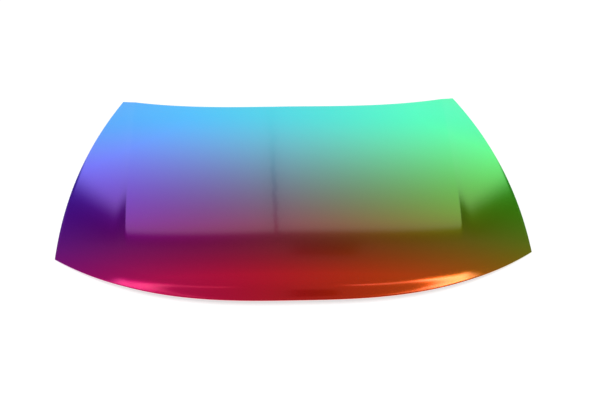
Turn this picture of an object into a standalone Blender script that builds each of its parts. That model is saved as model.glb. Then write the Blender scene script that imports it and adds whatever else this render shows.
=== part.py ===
"""A car bonnet lying on its own edges, as on a flat floor.

A pressed steel skin is hemmed round a pressed steel frame. Between them are the plates and
nuts for the hinges and the striker, a stiffener under the skin and beads of mastic. Below are
the striker, the rubber stops and pads, and the bush that the prop rod goes in.
"""

import math

import bmesh
import bpy
from mathutils import Matrix, Vector

# The frame of the part: +X across the car, -Y to its nose, +Z up, in metres. The rear corners
# and the middle of the nose are equally far from the origin along Y, and the floor is z = 0.

# Plan of the skin's edge
LENGTH = 0.979
REAR_HALF_WIDTH = 0.597
FRONT_HALF_WIDTH = 0.720
SIDE_BULGE = 0.039
REAR_HOLLOW = 0.097
REAR_HOLLOW_POWER = 2.6
NOSE_BOW = 0.193
NOSE_BOW_POWER = 2.8
REAR_CREASE_INSET = 0.044
FRONT_CREASE_INSET = 0.218

# Heights of the skin above its four corners, and its slopes along the middle
REAR_CROWN = 0.044
FRONT_CROWN = 0.043
REAR_RISE = 0.10
FRONT_FALL = 0.17
SIDE_ARCH = 0.010
REAR_CREASE_DROP = 0.0335
FRONT_CREASE_DROP = 0.018
CREASE_TO_SIDE_BEND = 0.10
NOSE_ROLL = 0.045
NOSE_FLAT = 0.022
NOSE_DROP = 0.029

# Sheets and their folded edge
SKIN_THICKNESS = 0.0008
FRAME_THICKNESS = 0.0007
CLEARANCE = 0.0003
HEM_CLEARANCE = 0.0007
FACET_SAG = 0.0004
HEM_RETURN = 0.009
HEM_FLANGE = 0.015
FLANGE_INSET = 0.002
HEM_BEND_STEPS = 3

# The frame's channels, as depths of its upper face under the outside of the skin
WINDOW_FLANGE_DEPTH = 0.0040
RIB_DEPTH = 0.013
REAR_RAIL_DEPTH = 0.015
SIDE_RAIL_DEPTH = 0.014
FRONT_RAIL_DEPTH = 0.019
LOWEST_FRAME = 0.0045
RAIL_WALL = 0.012
FLANGE_WIDTH = 0.016
REAR_RAIL_START = 0.026
REAR_RAIL_END = 0.086
FRONT_RAIL_START = 0.050
FRONT_RAIL_END = 0.112
SIDE_RAIL_START = 0.028
SIDE_RAIL_END = 0.072
RIB_HALF_BOTTOM = 0.018
INNER_RIB = (0.175, 0.085)
OUTER_RIB_INSETS = (0.172, 0.400)
WINDOW_RADIUS = 0.026
WINDOW_CORNER_STEPS = 4
WINDOW_CUT_HEIGHT = 0.100
CREASE_ROOM = 0.003

# Round holes in the frame
RIB_HOLE_RADIUS = 0.009
RAIL_HOLE_RADIUS = 0.011
SIDE_HOLE_RADIUS = 0.007
RIB_HOLE_PLACES = (0.28, 0.42, 0.68)
REAR_RAIL_HOLES_X = (0.085, 0.275, 0.345)
FRONT_RAIL_HOLES_X = (0.205, 0.310, 0.520)
SIDE_HOLE_PLACES = (0.30, 0.70)

# Hinge seats
HINGE_INSET = 0.098
HINGE_SEAT_HALF_WIDTH = 0.056
HINGE_BOLT_SPACING = 0.034
HINGE_HOLE_RADIUS = 0.0055
HINGE_PLATE = (0.076, 0.054, 0.0018)

# Latch seat and striker
LATCH_SEAT_HALF_WIDTH = 0.062
LATCH_PLATE = (0.112, 0.050, 0.0015)
STRIKER_PLATE = (0.074, 0.046, 0.0030)
STRIKER_BOLT_SPACING = 0.052
STRIKER_WIRE_RADIUS = 0.004
STRIKER_LOOP_HALF_SPAN = 0.015
STRIKER_LOOP_DROP = 0.032
PLATE_CORNER = 0.007

# M8 nuts and bolts
THREAD_RADIUS = 0.004
BOLT_HOLE_RADIUS = 0.0046
HALF_ACROSS_FLATS = 0.0065
HEXAGON_RADIUS = HALF_ACROSS_FLATS / math.cos(math.pi / 6)
NUT_HEIGHT = 0.0065
NUT_FLANGE_RADIUS = 0.0085
NUT_FLANGE_HEIGHT = 0.0014
BOLT_HEAD_HEIGHT = 0.0055
BOLT_WASHER_RADIUS = 0.0090
BOLT_WASHER_HEIGHT = 0.0016

# Rubber stops, side pads and the prop rod's bush
STOP_INSET = 0.286
STOP_SEAT_HALF_WIDTH = 0.072
STOP_RADIUS = 0.014
STOP_HEIGHT = 0.014
STOP_CHAMFER = 0.003
STOP_STEM_RADIUS = 0.0050
STOP_STEM_LENGTH = 0.006
STEM_FIT = 0.0004
PAD_PLACE = 0.50
PAD_SIZE = (0.040, 0.016, 0.006)
PAD_EDGE = 0.002
PAD_STEM_RADIUS = 0.0035
PAD_STEM_LENGTH = 0.005
BUSH_PLACE = 0.55
BUSH_RADIUS = 0.0115
BUSH_FLANGE_HEIGHT = 0.0025
BUSH_BODY_RADIUS = 0.0080
BUSH_BODY_LENGTH = 0.007
BUSH_BORE_RADIUS = 0.0050

# Skin stiffener, mastic and sealer
STIFFENER_HALF_WIDTH = 0.130
STIFFENER_START = 0.056
STIFFENER_END = 0.122
STIFFENER_THICKNESS = 0.0008
STIFFENER_COLUMNS = 8
STIFFENER_STEPS = 2
MASTIC_WIDTH = 0.009
MASTIC_START = 0.20
MASTIC_END = 0.72
MASTIC_STEPS = 6
SEALER_RADIUS = 0.0008

# How finely the shapes are divided, and the steps that slopes are measured over
MIDDLE_ROWS = 8
ROUND_SIDES = 16
SMALL_SIDES = 12
PLATE_CORNER_STEPS = 3
LOOP_STEPS = 8
V_STEP = 0.003
X_STEP = 0.003

HEM_RADIUS = SKIN_THICKNESS + HEM_CLEARANCE + FRAME_THICKNESS / 2
EDGE_LEVEL = 2 * HEM_RADIUS
HEM_DEPTH = SKIN_THICKNESS + HEM_CLEARANCE
REAR_RAIL_MIDDLE = (REAR_RAIL_START + REAR_RAIL_END) / 2
FRONT_RAIL_MIDDLE = (FRONT_RAIL_START + FRONT_RAIL_END) / 2
SIDE_RAIL_MIDDLE = (SIDE_RAIL_START + SIDE_RAIL_END) / 2
WINDOW_EDGE = RAIL_WALL + FLANGE_WIDTH
HALF_LENGTH = LENGTH / 2
REAR_CREASE_X = REAR_HALF_WIDTH - REAR_CREASE_INSET
FRONT_CREASE_X = FRONT_HALF_WIDTH - FRONT_CREASE_INSET
OUTER_RIB = (REAR_HALF_WIDTH - OUTER_RIB_INSETS[0], FRONT_HALF_WIDTH - OUTER_RIB_INSETS[1])
HINGE_X = REAR_HALF_WIDTH - HINGE_INSET
STOP_X = FRONT_HALF_WIDTH - STOP_INSET

PAINT = ("body_paint", (0.62, 0.10, 0.30), 0.25, 0.5)
PRIMER = ("frame_primer", (0.035, 0.037, 0.040), 0.45, 0.0)
ZINC = ("zinc_plate", (0.62, 0.62, 0.58), 0.35, 1.0)
RUBBER = ("stop_rubber", (0.020, 0.020, 0.021), 0.80, 0.0)
PLASTIC = ("bush_plastic", (0.55, 0.56, 0.56), 0.50, 0.0)
MASTIC = ("mastic", (0.10, 0.10, 0.11), 0.70, 0.0)
SEALER = ("sealer", (0.42, 0.42, 0.40), 0.60, 0.0)

SIDES = ((-1, "left"), (1, "right"))


def mix(start, end, share):
    """The value at a share of the way from start to end."""
    return start + (end - start) * share


# Shape of the outside of the skin. A place on it is given by x and by v, which runs from 0 at
# the rear edge to 1 at the front edge.


def half_width(v):
    """Half the skin's width at v."""
    return mix(REAR_HALF_WIDTH, FRONT_HALF_WIDTH, v) + SIDE_BULGE * 4 * v * (1 - v)


def crease_x(v):
    """Where the right crease runs."""
    return mix(REAR_CREASE_X, FRONT_CREASE_X, v)


def rear_edge_y(q):
    """The rear edge at a share q of the half width. Its middle lies forward of its corners."""
    return HALF_LENGTH - REAR_HOLLOW * (1 - abs(q) ** REAR_HOLLOW_POWER)


def front_edge_y(q):
    """The front edge at a share q of the half width. It bows forward to the nose."""
    return NOSE_BOW * abs(q) ** NOSE_BOW_POWER - HALF_LENGTH


def rear_slope(q):
    """How steeply the right half of the rear edge runs back."""
    return REAR_HOLLOW * REAR_HOLLOW_POWER * q ** (REAR_HOLLOW_POWER - 1) / REAR_HALF_WIDTH


def front_slope(q):
    """How steeply the right half of the front edge runs back."""
    return NOSE_BOW * NOSE_BOW_POWER * q ** (NOSE_BOW_POWER - 1) / FRONT_HALF_WIDTH


def length_at(q):
    """Length of the skin, rear edge to front edge, at a share q of the half width."""
    return rear_edge_y(q) - front_edge_y(q)


def v_of_row(row, q):
    """The v of a row at q. A row is a share of the length and a distance added to it.

    The distance is measured square to the edge that the row is near, so that a rail keeps its
    width from side to side.
    """
    share, distance = row
    slope = mix(rear_slope(q), front_slope(q), share)
    return share + distance * math.hypot(1, slope) / length_at(q)


def share_across(x, v):
    """How far out x is, from 0 in the middle to 1 at the side edge."""
    return min(abs(x) / half_width(v), 1.0)


def centre_height(v):
    """Height of the middle line before the nose rolls down, as a cubic with set end slopes."""
    length = length_at(0)
    rise, fall = REAR_RISE * length, -FRONT_FALL * length
    return (
        (2 * v**3 - 3 * v**2 + 1) * REAR_CROWN
        + (v**3 - 2 * v**2 + v) * rise
        + (3 * v**2 - 2 * v**3) * FRONT_CROWN
        + (v**3 - v**2) * fall
    )


def nose_drop(from_nose):
    """How far the nose has rolled down, at a distance from the front edge: a curve, then a flat."""
    bend = NOSE_ROLL - NOSE_FLAT
    steepness = NOSE_DROP / (bend**2 + 2 * bend * NOSE_FLAT)
    into = NOSE_ROLL - from_nose
    if into <= 0:
        return 0.0
    if into <= bend:
        return steepness * into**2
    return steepness * (bend**2 + 2 * bend * (into - bend))


def skin_height(x, v):
    """Height of the outside of the skin above the floor."""
    middle = centre_height(v)
    side = SIDE_ARCH * 4 * v * (1 - v)
    crease = middle - mix(REAR_CREASE_DROP, FRONT_CREASE_DROP, v)
    crease_at = crease_x(v)
    if abs(x) <= crease_at:
        height = mix(middle, crease, (x / crease_at) ** 2)
    else:
        out = (abs(x) - crease_at) / (half_width(v) - crease_at)
        bent = (1 - CREASE_TO_SIDE_BEND) * out + CREASE_TO_SIDE_BEND * out**2
        height = mix(crease, side, bent)
    q = share_across(x, v)
    from_nose = (1 - v) * length_at(q) / math.hypot(1, front_slope(q))
    rolled = nose_drop(from_nose) * (1 - q**2)
    return EDGE_LEVEL + height - rolled


def skin_point(x, v):
    """The point of the outside of the skin at x and v."""
    q = share_across(x, v)
    return Vector((x, mix(rear_edge_y(q), front_edge_y(q), v), skin_height(x, v)))


def skin_normal(x, v):
    """The outward normal of the skin at x and v, from points a little way off on both sides."""
    inner_v = max(V_STEP, min(1 - V_STEP, v))
    inner_x = max(-half_width(v) + X_STEP, min(half_width(v) - X_STEP, x))
    across = skin_point(inner_x + X_STEP, inner_v) - skin_point(inner_x - X_STEP, inner_v)
    along = skin_point(inner_x, inner_v - V_STEP) - skin_point(inner_x, inner_v + V_STEP)
    return across.cross(along).normalized()


def under_skin(x, v, depth):
    """The point at a depth under the outside of the skin, measured square to it."""
    return skin_point(x, v) - skin_normal(x, v) * depth


def v_from_rear(x, distance):
    """The v at a distance in front of the rear edge, at about x."""
    return v_of_row((0.0, distance), share_across(x, 0.0))


def v_from_nose(x, distance):
    """The v at a distance behind the front edge, at about x."""
    return v_of_row((1.0, -distance), share_across(x, 1.0))


# Columns and rows that both panels share, so that their flat facets lie side by side and never
# meet. A column is a function from v to x.


def rib_x(rib, aside):
    """A column that runs aside of a rib's middle line."""
    return lambda v: mix(*rib, v) + aside


def mirror_of(column):
    """The same column on the left side."""
    return lambda v: -column(v)


def side_x(distance):
    """A column at a distance in from the side edge, squeezed where the crease is close."""
    deepest = SIDE_RAIL_END + WINDOW_EDGE

    def column(v):
        if distance <= SIDE_RAIL_START:
            return half_width(v) - distance
        room = half_width(v) - crease_x(v) - CREASE_ROOM
        share = (distance - SIDE_RAIL_START) / (deepest - SIDE_RAIL_START)
        return half_width(v) - mix(SIDE_RAIL_START, min(deepest, room), share)

    return column


def between(first, second):
    """The column half way between two columns."""
    return lambda v: (first(v) + second(v)) / 2


def panel_columns(edge_inset):
    """The columns of a panel, left to right, each with its level: hem, low or high."""
    wall_top = RIB_HALF_BOTTOM + RAIL_WALL
    middle = rib_x((0.0, 0.0), 0.0)
    right = []
    last = middle
    for rib in (INNER_RIB, OUTER_RIB):
        near, far = rib_x(rib, -wall_top), rib_x(rib, wall_top)
        right += [
            (between(last, near), "high"),
            (near, "high"),
            (rib_x(rib, -RIB_HALF_BOTTOM), "low"),
            (rib_x(rib, RIB_HALF_BOTTOM), "low"),
            (far, "high"),
        ]
        last = far
    side_wall_top = side_x(SIDE_RAIL_END + RAIL_WALL)
    right += [
        (between(last, crease_x), "high"),
        (crease_x, "high"),
        (between(crease_x, side_wall_top), "high"),
        (side_wall_top, "high"),
        (side_x(SIDE_RAIL_END), "low"),
        (side_x(SIDE_RAIL_START), "low"),
        (side_x(HEM_FLANGE), "hem"),
        (side_x(edge_inset), "hem"),
    ]
    left = [(mirror_of(column), level) for column, level in reversed(right)]
    return left + [(middle, "high")] + right


def panel_rows(edge_inset, nose_distances=()):
    """The rows of a panel, rear to front, with their levels and any further rows in the nose."""
    rear = [
        ((0.0, edge_inset), "hem"),
        ((0.0, HEM_FLANGE), "hem"),
        ((0.0, REAR_RAIL_START), "low"),
        ((0.0, REAR_RAIL_END), "low"),
        ((0.0, REAR_RAIL_END + RAIL_WALL), "high"),
    ]
    nose = [
        ((1.0, -FRONT_RAIL_END - RAIL_WALL), "high"),
        ((1.0, -FRONT_RAIL_END), "low"),
        ((1.0, -FRONT_RAIL_START), "low"),
    ]
    nose += [((1.0, -distance), "high") for distance in nose_distances]
    nose += [((1.0, -HEM_FLANGE), "hem"), ((1.0, -edge_inset), "hem")]
    middle = []
    for k in range(1, MIDDLE_ROWS + 1):
        part_way = k / (MIDDLE_ROWS + 1)
        row = tuple(mix(start, end, part_way) for start, end in zip(rear[-1][0], nose[0][0]))
        middle.append((row, "high"))
    return rear + middle + nose


def cross(column, row):
    """The x and v where a column crosses a row."""
    v = row[0]
    for _ in range(3):
        v = v_of_row(row, share_across(column(v), v))
    return column(v), v


def make_object(name, mesh, finish, collection, place=None):
    """An object for a mesh, in a collection, with its finish."""
    obj = bpy.data.objects.new(name, mesh)
    collection.objects.link(obj)
    if finish:
        obj.data.materials.append(material(*finish))
    if place is not None:
        obj.matrix_world = place
    return obj


def material(name, colour, roughness, metallic):
    """The Principled material of this name, made the first time that it is asked for."""
    found = bpy.data.materials.get(name)
    if found:
        return found
    made = bpy.data.materials.new(name)
    made.use_nodes = True
    shader = made.node_tree.nodes["Principled BSDF"]
    shader.inputs["Base Color"].default_value = (*colour, 1.0)
    shader.inputs["Roughness"].default_value = roughness
    shader.inputs["Metallic"].default_value = metallic
    return made


def grid_sheet(columns, rows, place):
    """A grid of so many columns and rows of vertices, each of them put in its place."""
    bm = bmesh.new()
    across, along = columns - 1, rows - 1
    bmesh.ops.create_grid(bm, x_segments=across, y_segments=along, size=1.0)
    for vert in bm.verts:
        i = round((vert.co.x + 1) / 2 * across)
        j = round((1 - vert.co.y) / 2 * along)
        vert.co = place(i, j)
    bm.normal_update()
    return bm


def rim_directions(vert):
    """Outwards and downwards at a rim vertex. Outwards is mitred where two edges meet."""
    outward = []
    for edge in vert.link_edges:
        if edge.is_boundary:
            along = (edge.verts[1].co - edge.verts[0].co).normalized()
            away = edge.verts[0].co - edge.link_faces[0].calc_center_median()
            outward.append((away - along * away.dot(along)).normalized())
    first, second = outward
    return (first + second) / (1 + first.dot(second)), -vert.normal


def fold_rim(bm, steps):
    """Folds the rim of a sheet. Each step is a distance outwards and one below the sheet."""
    ring = [edge for edge in bm.edges if edge.is_boundary]
    verts = {vert for edge in ring for vert in edge.verts}
    folding = {tuple(v.co): (v.co.copy(), *rim_directions(v)) for v in verts}
    for out_by, down_by in steps:
        made = bmesh.ops.extrude_edge_only(bm, edges=ring)["geom"]
        edges = [part for part in made if isinstance(part, bmesh.types.BMEdge)]
        ring = [edge for edge in edges if edge.is_boundary]
        moved = {}
        for vert in {vert for edge in ring for vert in edge.verts}:
            start, outward, downward = folding[tuple(vert.co)]
            vert.co = start + outward * out_by + downward * down_by
            moved[tuple(vert.co)] = (start, outward, downward)
        folding = moved


def to_mesh(bm, name):
    """Turns a bmesh into a mesh."""
    mesh = bpy.data.meshes.new(name)
    bm.to_mesh(mesh)
    bm.free()
    return mesh


def thicken(obj, thickness):
    """Gives a sheet its thickness, on the side away from its normals."""
    wall = obj.modifiers.new("thickness", "SOLIDIFY")
    wall.thickness = thickness
    wall.offset = -1.0
    wall.use_even_offset = True


def outer_skin(collection):
    """The outer panel, with its edge folded back on itself all round to hold the frame."""
    roll_rows = (NOSE_ROLL, (NOSE_ROLL + NOSE_FLAT) / 2, NOSE_FLAT)
    columns = panel_columns(0.0)
    rows = panel_rows(0.0, roll_rows)

    def place(i, j):
        return skin_point(*cross(columns[i][0], rows[j][0]))

    bm = grid_sheet(len(columns), len(rows), place)
    turns = [math.pi * k / HEM_BEND_STEPS for k in range(1, HEM_BEND_STEPS + 1)]
    bend = [(HEM_RADIUS * math.sin(a), HEM_RADIUS * (1 - math.cos(a))) for a in turns]
    fold_rim(bm, bend + [(-HEM_RETURN, 2 * HEM_RADIUS)])
    skin = make_object("outer_skin", to_mesh(bm, "outer_skin"), PAINT, collection)
    thicken(skin, SKIN_THICKNESS)
    return skin


def channel_depth(x, v):
    """Depth of the channels' bottoms: deepest in the front rail, clear of the floor at the sides."""
    if v <= v_from_rear(x, REAR_RAIL_END + RAIL_WALL):
        depth = REAR_RAIL_DEPTH
    elif v >= v_from_nose(x, FRONT_RAIL_END + RAIL_WALL):
        depth = FRONT_RAIL_DEPTH
    elif half_width(v) - abs(x) <= SIDE_RAIL_END:
        depth = SIDE_RAIL_DEPTH
    else:
        depth = RIB_DEPTH
    return max(HEM_DEPTH, min(depth, skin_height(x, v) - FRAME_THICKNESS - LOWEST_FRAME))


class Seat:
    """A place on the frame's underside that other pieces sit on, with its slope and heading."""

    def __init__(self, x, v, depth=None, heading=Vector((1, 0, 0))):
        self.up = skin_normal(x, v)
        self.top = under_skin(x, v, channel_depth(x, v) if depth is None else depth)
        self.across = (heading - self.up * heading.dot(self.up)).normalized()

    def snap(self, point):
        """The point moved up or down onto the seat's upper face."""
        off = (self.top - point).dot(self.up) / self.up.z
        return Vector((point.x, point.y, point.z + off))

    def above(self, height=0.0, along=(0.0, 0.0)):
        """A place over the frame's upper face, with Z off the seat and X along its heading."""
        forward = self.up.cross(self.across)
        at = self.top + self.up * height + self.across * along[0] + forward * along[1]
        turn = Matrix((self.across, forward, self.up)).transposed()
        return Matrix.Translation(at) @ turn.to_4x4()

    def below(self, gap=0.0, along=(0.0, 0.0)):
        """A place under the frame, with Z pointing down off the seat."""
        return self.above(-FRAME_THICKNESS - gap, along) @ Matrix.Rotation(math.pi, 4, "X")


def hinge_seat(side):
    """The seat of the hinge on a side, which is -1 or 1. It runs along the rear edge."""
    x = side * HINGE_X
    heading = Vector((1, side * rear_slope(share_across(x, 0.0)), 0))
    return Seat(x, v_from_rear(x, REAR_RAIL_MIDDLE), REAR_RAIL_DEPTH, heading)


def latch_seat():
    """The seat of the striker, in the middle of the front rail."""
    return Seat(0.0, v_from_nose(0.0, FRONT_RAIL_MIDDLE), FRONT_RAIL_DEPTH)


def stop_seat(side):
    """The seat of a rubber stop, at an end of the front rail."""
    x = side * STOP_X
    return Seat(x, v_from_nose(x, FRONT_RAIL_MIDDLE))


def side_rail_seat(side, v):
    """A seat in the middle of a side rail, which runs along the rail."""
    widening = half_width(v + V_STEP) - half_width(v - V_STEP)
    heading = Vector((-side * widening, 2 * V_STEP * length_at(1), 0))
    return Seat(side * (half_width(v) - SIDE_RAIL_MIDDLE), v, heading=heading)


def bush_seat():
    """The seat of the prop rod's bush, on the right outer rib."""
    return Seat(mix(*OUTER_RIB, BUSH_PLACE), BUSH_PLACE)


def add_cylinder(bm, radius, low, high, place, sides=ROUND_SIDES):
    """Adds a closed cylinder from low to high along the place's Z."""
    move = place @ Matrix.Translation((0, 0, (low + high) / 2))
    bmesh.ops.create_cone(
        bm, cap_ends=True, segments=sides, radius1=radius, radius2=radius,
        depth=high - low, matrix=move,
    )


def make_helper(name, bm, place=None):
    """A helper object for a Boolean, which isn't a piece of the bonnet."""
    helper = make_object(name, to_mesh(bm, name), None, bpy.data.collections["cutters"], place)
    helper.hide_render = True
    helper.display_type = "WIRE"
    return helper


def combine(obj, operation, helper):
    """Adds a Boolean with a helper: DIFFERENCE cuts and UNION joins."""
    step = obj.modifiers.new(helper.name, "BOOLEAN")
    step.operation = operation
    step.solver = "EXACT"
    step.object = helper


def upright_edges(bm):
    """The edges that run straight up."""
    return [
        edge for edge in bm.edges
        if (edge.verts[0].co - edge.verts[1].co).xy.length < CLEARANCE
    ]


def window_cutter(left, right, rear_row, front_row):
    """A prism with rounded corners that cuts the window between two columns and two rows."""
    corners = {
        (-1, 1): skin_point(*cross(left, rear_row)),
        (1, 1): skin_point(*cross(right, rear_row)),
        (-1, -1): skin_point(*cross(left, front_row)),
        (1, -1): skin_point(*cross(right, front_row)),
    }
    bm = bmesh.new()
    for vert in bmesh.ops.create_cube(bm, size=2.0)["verts"]:
        corner = corners[round(vert.co.x), round(vert.co.y)]
        vert.co = (corner.x, corner.y, (vert.co.z + 1) * WINDOW_CUT_HEIGHT)
    bmesh.ops.bevel(
        bm, geom=upright_edges(bm), offset=WINDOW_RADIUS, offset_type="OFFSET",
        affect="EDGES", segments=WINDOW_CORNER_STEPS, profile=0.5, material=-1,
    )
    return bm


def cut_windows(frame):
    """Cuts the five windows between the ribs and the rails."""
    edge = RIB_HALF_BOTTOM + WINDOW_EDGE
    rear_row = (0.0, REAR_RAIL_END + WINDOW_EDGE)
    front_row = (1.0, -FRONT_RAIL_END - WINDOW_EDGE)
    inner_edge = rib_x(INNER_RIB, -edge)
    middle = window_cutter(mirror_of(inner_edge), inner_edge, rear_row, front_row)
    combine(frame, "DIFFERENCE", make_helper("window_middle", middle))
    pairs = (
        ("window_inner", rib_x(INNER_RIB, edge), rib_x(OUTER_RIB, -edge)),
        ("window_outer", rib_x(OUTER_RIB, edge), side_x(SIDE_RAIL_END + WINDOW_EDGE)),
    )
    for name, near, far in pairs:
        right = window_cutter(near, far, rear_row, front_row)
        combine(frame, "DIFFERENCE", make_helper(name + "_right", right))
        left = window_cutter(mirror_of(far), mirror_of(near), rear_row, front_row)
        combine(frame, "DIFFERENCE", make_helper(name + "_left", left))


def cut_holes(frame):
    """Cuts the bolt holes, the stems' holes and the round holes that lighten and drain it."""
    reach = 4 * FRAME_THICKNESS
    holes = []
    for side, _ in SIDES:
        for rib in (INNER_RIB, OUTER_RIB):
            holes += [(Seat(side * mix(*rib, v), v), RIB_HOLE_RADIUS) for v in RIB_HOLE_PLACES]
        holes += [(side_rail_seat(side, v), SIDE_HOLE_RADIUS) for v in SIDE_HOLE_PLACES]
        holes.append((side_rail_seat(side, PAD_PLACE), PAD_STEM_RADIUS + STEM_FIT))
        holes.append((stop_seat(side), STOP_STEM_RADIUS + STEM_FIT))
        for x in FRONT_RAIL_HOLES_X:
            holes.append((Seat(side * x, v_from_nose(x, FRONT_RAIL_MIDDLE)), RAIL_HOLE_RADIUS))
        for x in REAR_RAIL_HOLES_X:
            holes.append((Seat(side * x, v_from_rear(x, REAR_RAIL_MIDDLE)), RAIL_HOLE_RADIUS))
    holes.append((Seat(0.0, v_from_rear(0.0, REAR_RAIL_MIDDLE)), RAIL_HOLE_RADIUS))
    holes.append((bush_seat(), BUSH_BODY_RADIUS + STEM_FIT))
    drills = [(seat.above(), radius) for seat, radius in holes]
    for side, _ in SIDES:
        for end in (-0.5, 0.5):
            at = (0.0, end * HINGE_BOLT_SPACING)
            drills.append((hinge_seat(side).above(along=at), HINGE_HOLE_RADIUS))
        at = (side * STRIKER_BOLT_SPACING / 2, 0.0)
        drills.append((latch_seat().above(along=at), BOLT_HOLE_RADIUS))

    bm = bmesh.new()
    for place, radius in drills:
        add_cylinder(bm, radius, -reach, reach, place, SMALL_SIDES)
    combine(frame, "DIFFERENCE", make_helper("frame_holes", bm))


def inner_frame(collection):
    """The pressed inner panel: a rail all round and four ribs that fan out from the latch."""
    columns = panel_columns(FLANGE_INSET)
    rows = panel_rows(FLANGE_INSET)
    flats = [(1.0, latch_seat(), 0.0, LATCH_SEAT_HALF_WIDTH)]
    for side, _ in SIDES:
        flats.append((0.0, hinge_seat(side), side * HINGE_X, HINGE_SEAT_HALF_WIDTH))
        flats.append((1.0, stop_seat(side), side * STOP_X, STOP_SEAT_HALF_WIDTH))

    def place(i, j):
        column, column_level = columns[i]
        row, row_level = rows[j]
        x, v = cross(column, row)
        if "hem" in (column_level, row_level):
            return under_skin(x, v, HEM_DEPTH)
        if "low" not in (column_level, row_level):
            return under_skin(x, v, WINDOW_FLANGE_DEPTH)
        point = under_skin(x, v, channel_depth(x, v))
        if row_level == "low":
            for end, seat, middle, reach in flats:
                if row[0] == end and abs(x - middle) <= reach:
                    return seat.snap(point)
        return point

    bm = grid_sheet(len(columns), len(rows), place)
    frame = make_object("inner_frame", to_mesh(bm, "inner_frame"), PRIMER, collection)
    thicken(frame, FRAME_THICKNESS)
    cut_windows(frame)
    cut_holes(frame)
    return frame


def rounded_plate(name, size, place, holes, finish, collection):
    """A flat plate with rounded corners and holes, lying from z = 0 up at its place."""
    bm = bmesh.new()
    box = Matrix.Translation((0, 0, size[2] / 2)) @ Matrix.Diagonal((*size, 1.0))
    bmesh.ops.create_cube(bm, size=1.0, matrix=box)
    bmesh.ops.bevel(
        bm, geom=upright_edges(bm), offset=PLATE_CORNER, offset_type="OFFSET",
        affect="EDGES", segments=PLATE_CORNER_STEPS, profile=0.5, material=-1,
    )
    plate = make_object(name, to_mesh(bm, name), finish, collection, place)
    drills = bmesh.new()
    for x, y, radius in holes:
        at = Matrix.Translation((x, y, 0))
        add_cylinder(drills, radius, -size[2], 2 * size[2], at, SMALL_SIDES)
    combine(plate, "DIFFERENCE", make_helper(name + "_holes", drills, place))


def turned(name, profile, place, finish, collection):
    """A turned piece. Its profile is (radius, height) down its outer side, top to bottom."""
    bm = bmesh.new()
    verts = [bm.verts.new((radius, 0.0, height)) for radius, height in profile]
    for first, second in zip(verts, verts[1:]):
        bm.edges.new((first, second))
    if profile[0][0] > 0 and profile[-1][0] > 0:
        bm.edges.new((verts[-1], verts[0]))
    piece = make_object(name, to_mesh(bm, name), finish, collection, place)
    spin = piece.modifiers.new("turned", "SCREW")
    spin.steps = spin.render_steps = ROUND_SIDES
    spin.use_merge_vertices = True
    spin.merge_threshold = 0.00001


def cylinder_mesh(radius, low, high, sides):
    """A bmesh with one closed cylinder along Z."""
    bm = bmesh.new()
    add_cylinder(bm, radius, low, high, Matrix(), sides)
    return bm


def weld_nut(name, place, collection):
    """An M8 hexagon weld nut with a round flange, open through the middle."""
    flange = cylinder_mesh(NUT_FLANGE_RADIUS, 0.0, NUT_FLANGE_HEIGHT, ROUND_SIDES)
    nut = make_object(name, to_mesh(flange, name), ZINC, collection, place)
    hexagon = cylinder_mesh(HEXAGON_RADIUS, NUT_FLANGE_HEIGHT / 2, NUT_HEIGHT, 6)
    combine(nut, "UNION", make_helper(name + "_hexagon", hexagon, place))
    bore = cylinder_mesh(THREAD_RADIUS, -NUT_HEIGHT, 2 * NUT_HEIGHT, SMALL_SIDES)
    combine(nut, "DIFFERENCE", make_helper(name + "_bore", bore, place))


def flanged_bolt(name, place, shank_length, collection):
    """An M8 bolt with a washer face, a hexagon head and a shank that points into its seat."""
    washer = cylinder_mesh(BOLT_WASHER_RADIUS, 0.0, BOLT_WASHER_HEIGHT, ROUND_SIDES)
    bolt = make_object(name, to_mesh(washer, name), ZINC, collection, place)
    inside = BOLT_WASHER_HEIGHT / 2
    head = cylinder_mesh(HEXAGON_RADIUS, inside, BOLT_HEAD_HEIGHT, 6)
    combine(bolt, "UNION", make_helper(name + "_head", head, place))
    shank = cylinder_mesh(THREAD_RADIUS - CLEARANCE, -shank_length, inside, SMALL_SIDES)
    combine(bolt, "UNION", make_helper(name + "_shank", shank, place))


def hinge_fixings(collection):
    """For each hinge, a plate inside the rear rail and two nuts on it."""
    half = HINGE_BOLT_SPACING / 2
    holes = [(0.0, -half, HINGE_HOLE_RADIUS), (0.0, half, HINGE_HOLE_RADIUS)]
    height = HINGE_PLATE[2] + 2 * CLEARANCE
    for side, word in SIDES:
        seat = hinge_seat(side)
        rounded_plate(f"hinge_plate_{word}", HINGE_PLATE, seat.above(CLEARANCE), holes,
                      PRIMER, collection)
        for end, where in ((-half, "front"), (half, "rear")):
            weld_nut(f"hinge_nut_{word}_{where}", seat.above(height, (0.0, end)), collection)


def wire(name, points, radius, detail, finish, collection, place=None, closed=False):
    """A round wire or bead along straight lines from point to point."""
    curve = bpy.data.curves.new(name, "CURVE")
    curve.dimensions = "3D"
    spline = curve.splines.new("POLY")
    spline.points.add(len(points) - 1)
    for spot, point in zip(spline.points, points):
        spot.co = (*point, 1.0)
    spline.use_cyclic_u = closed
    curve.bevel_depth = radius
    curve.bevel_resolution = detail
    curve.use_fill_caps = not closed
    return make_object(name, curve, finish, collection, place)


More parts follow.
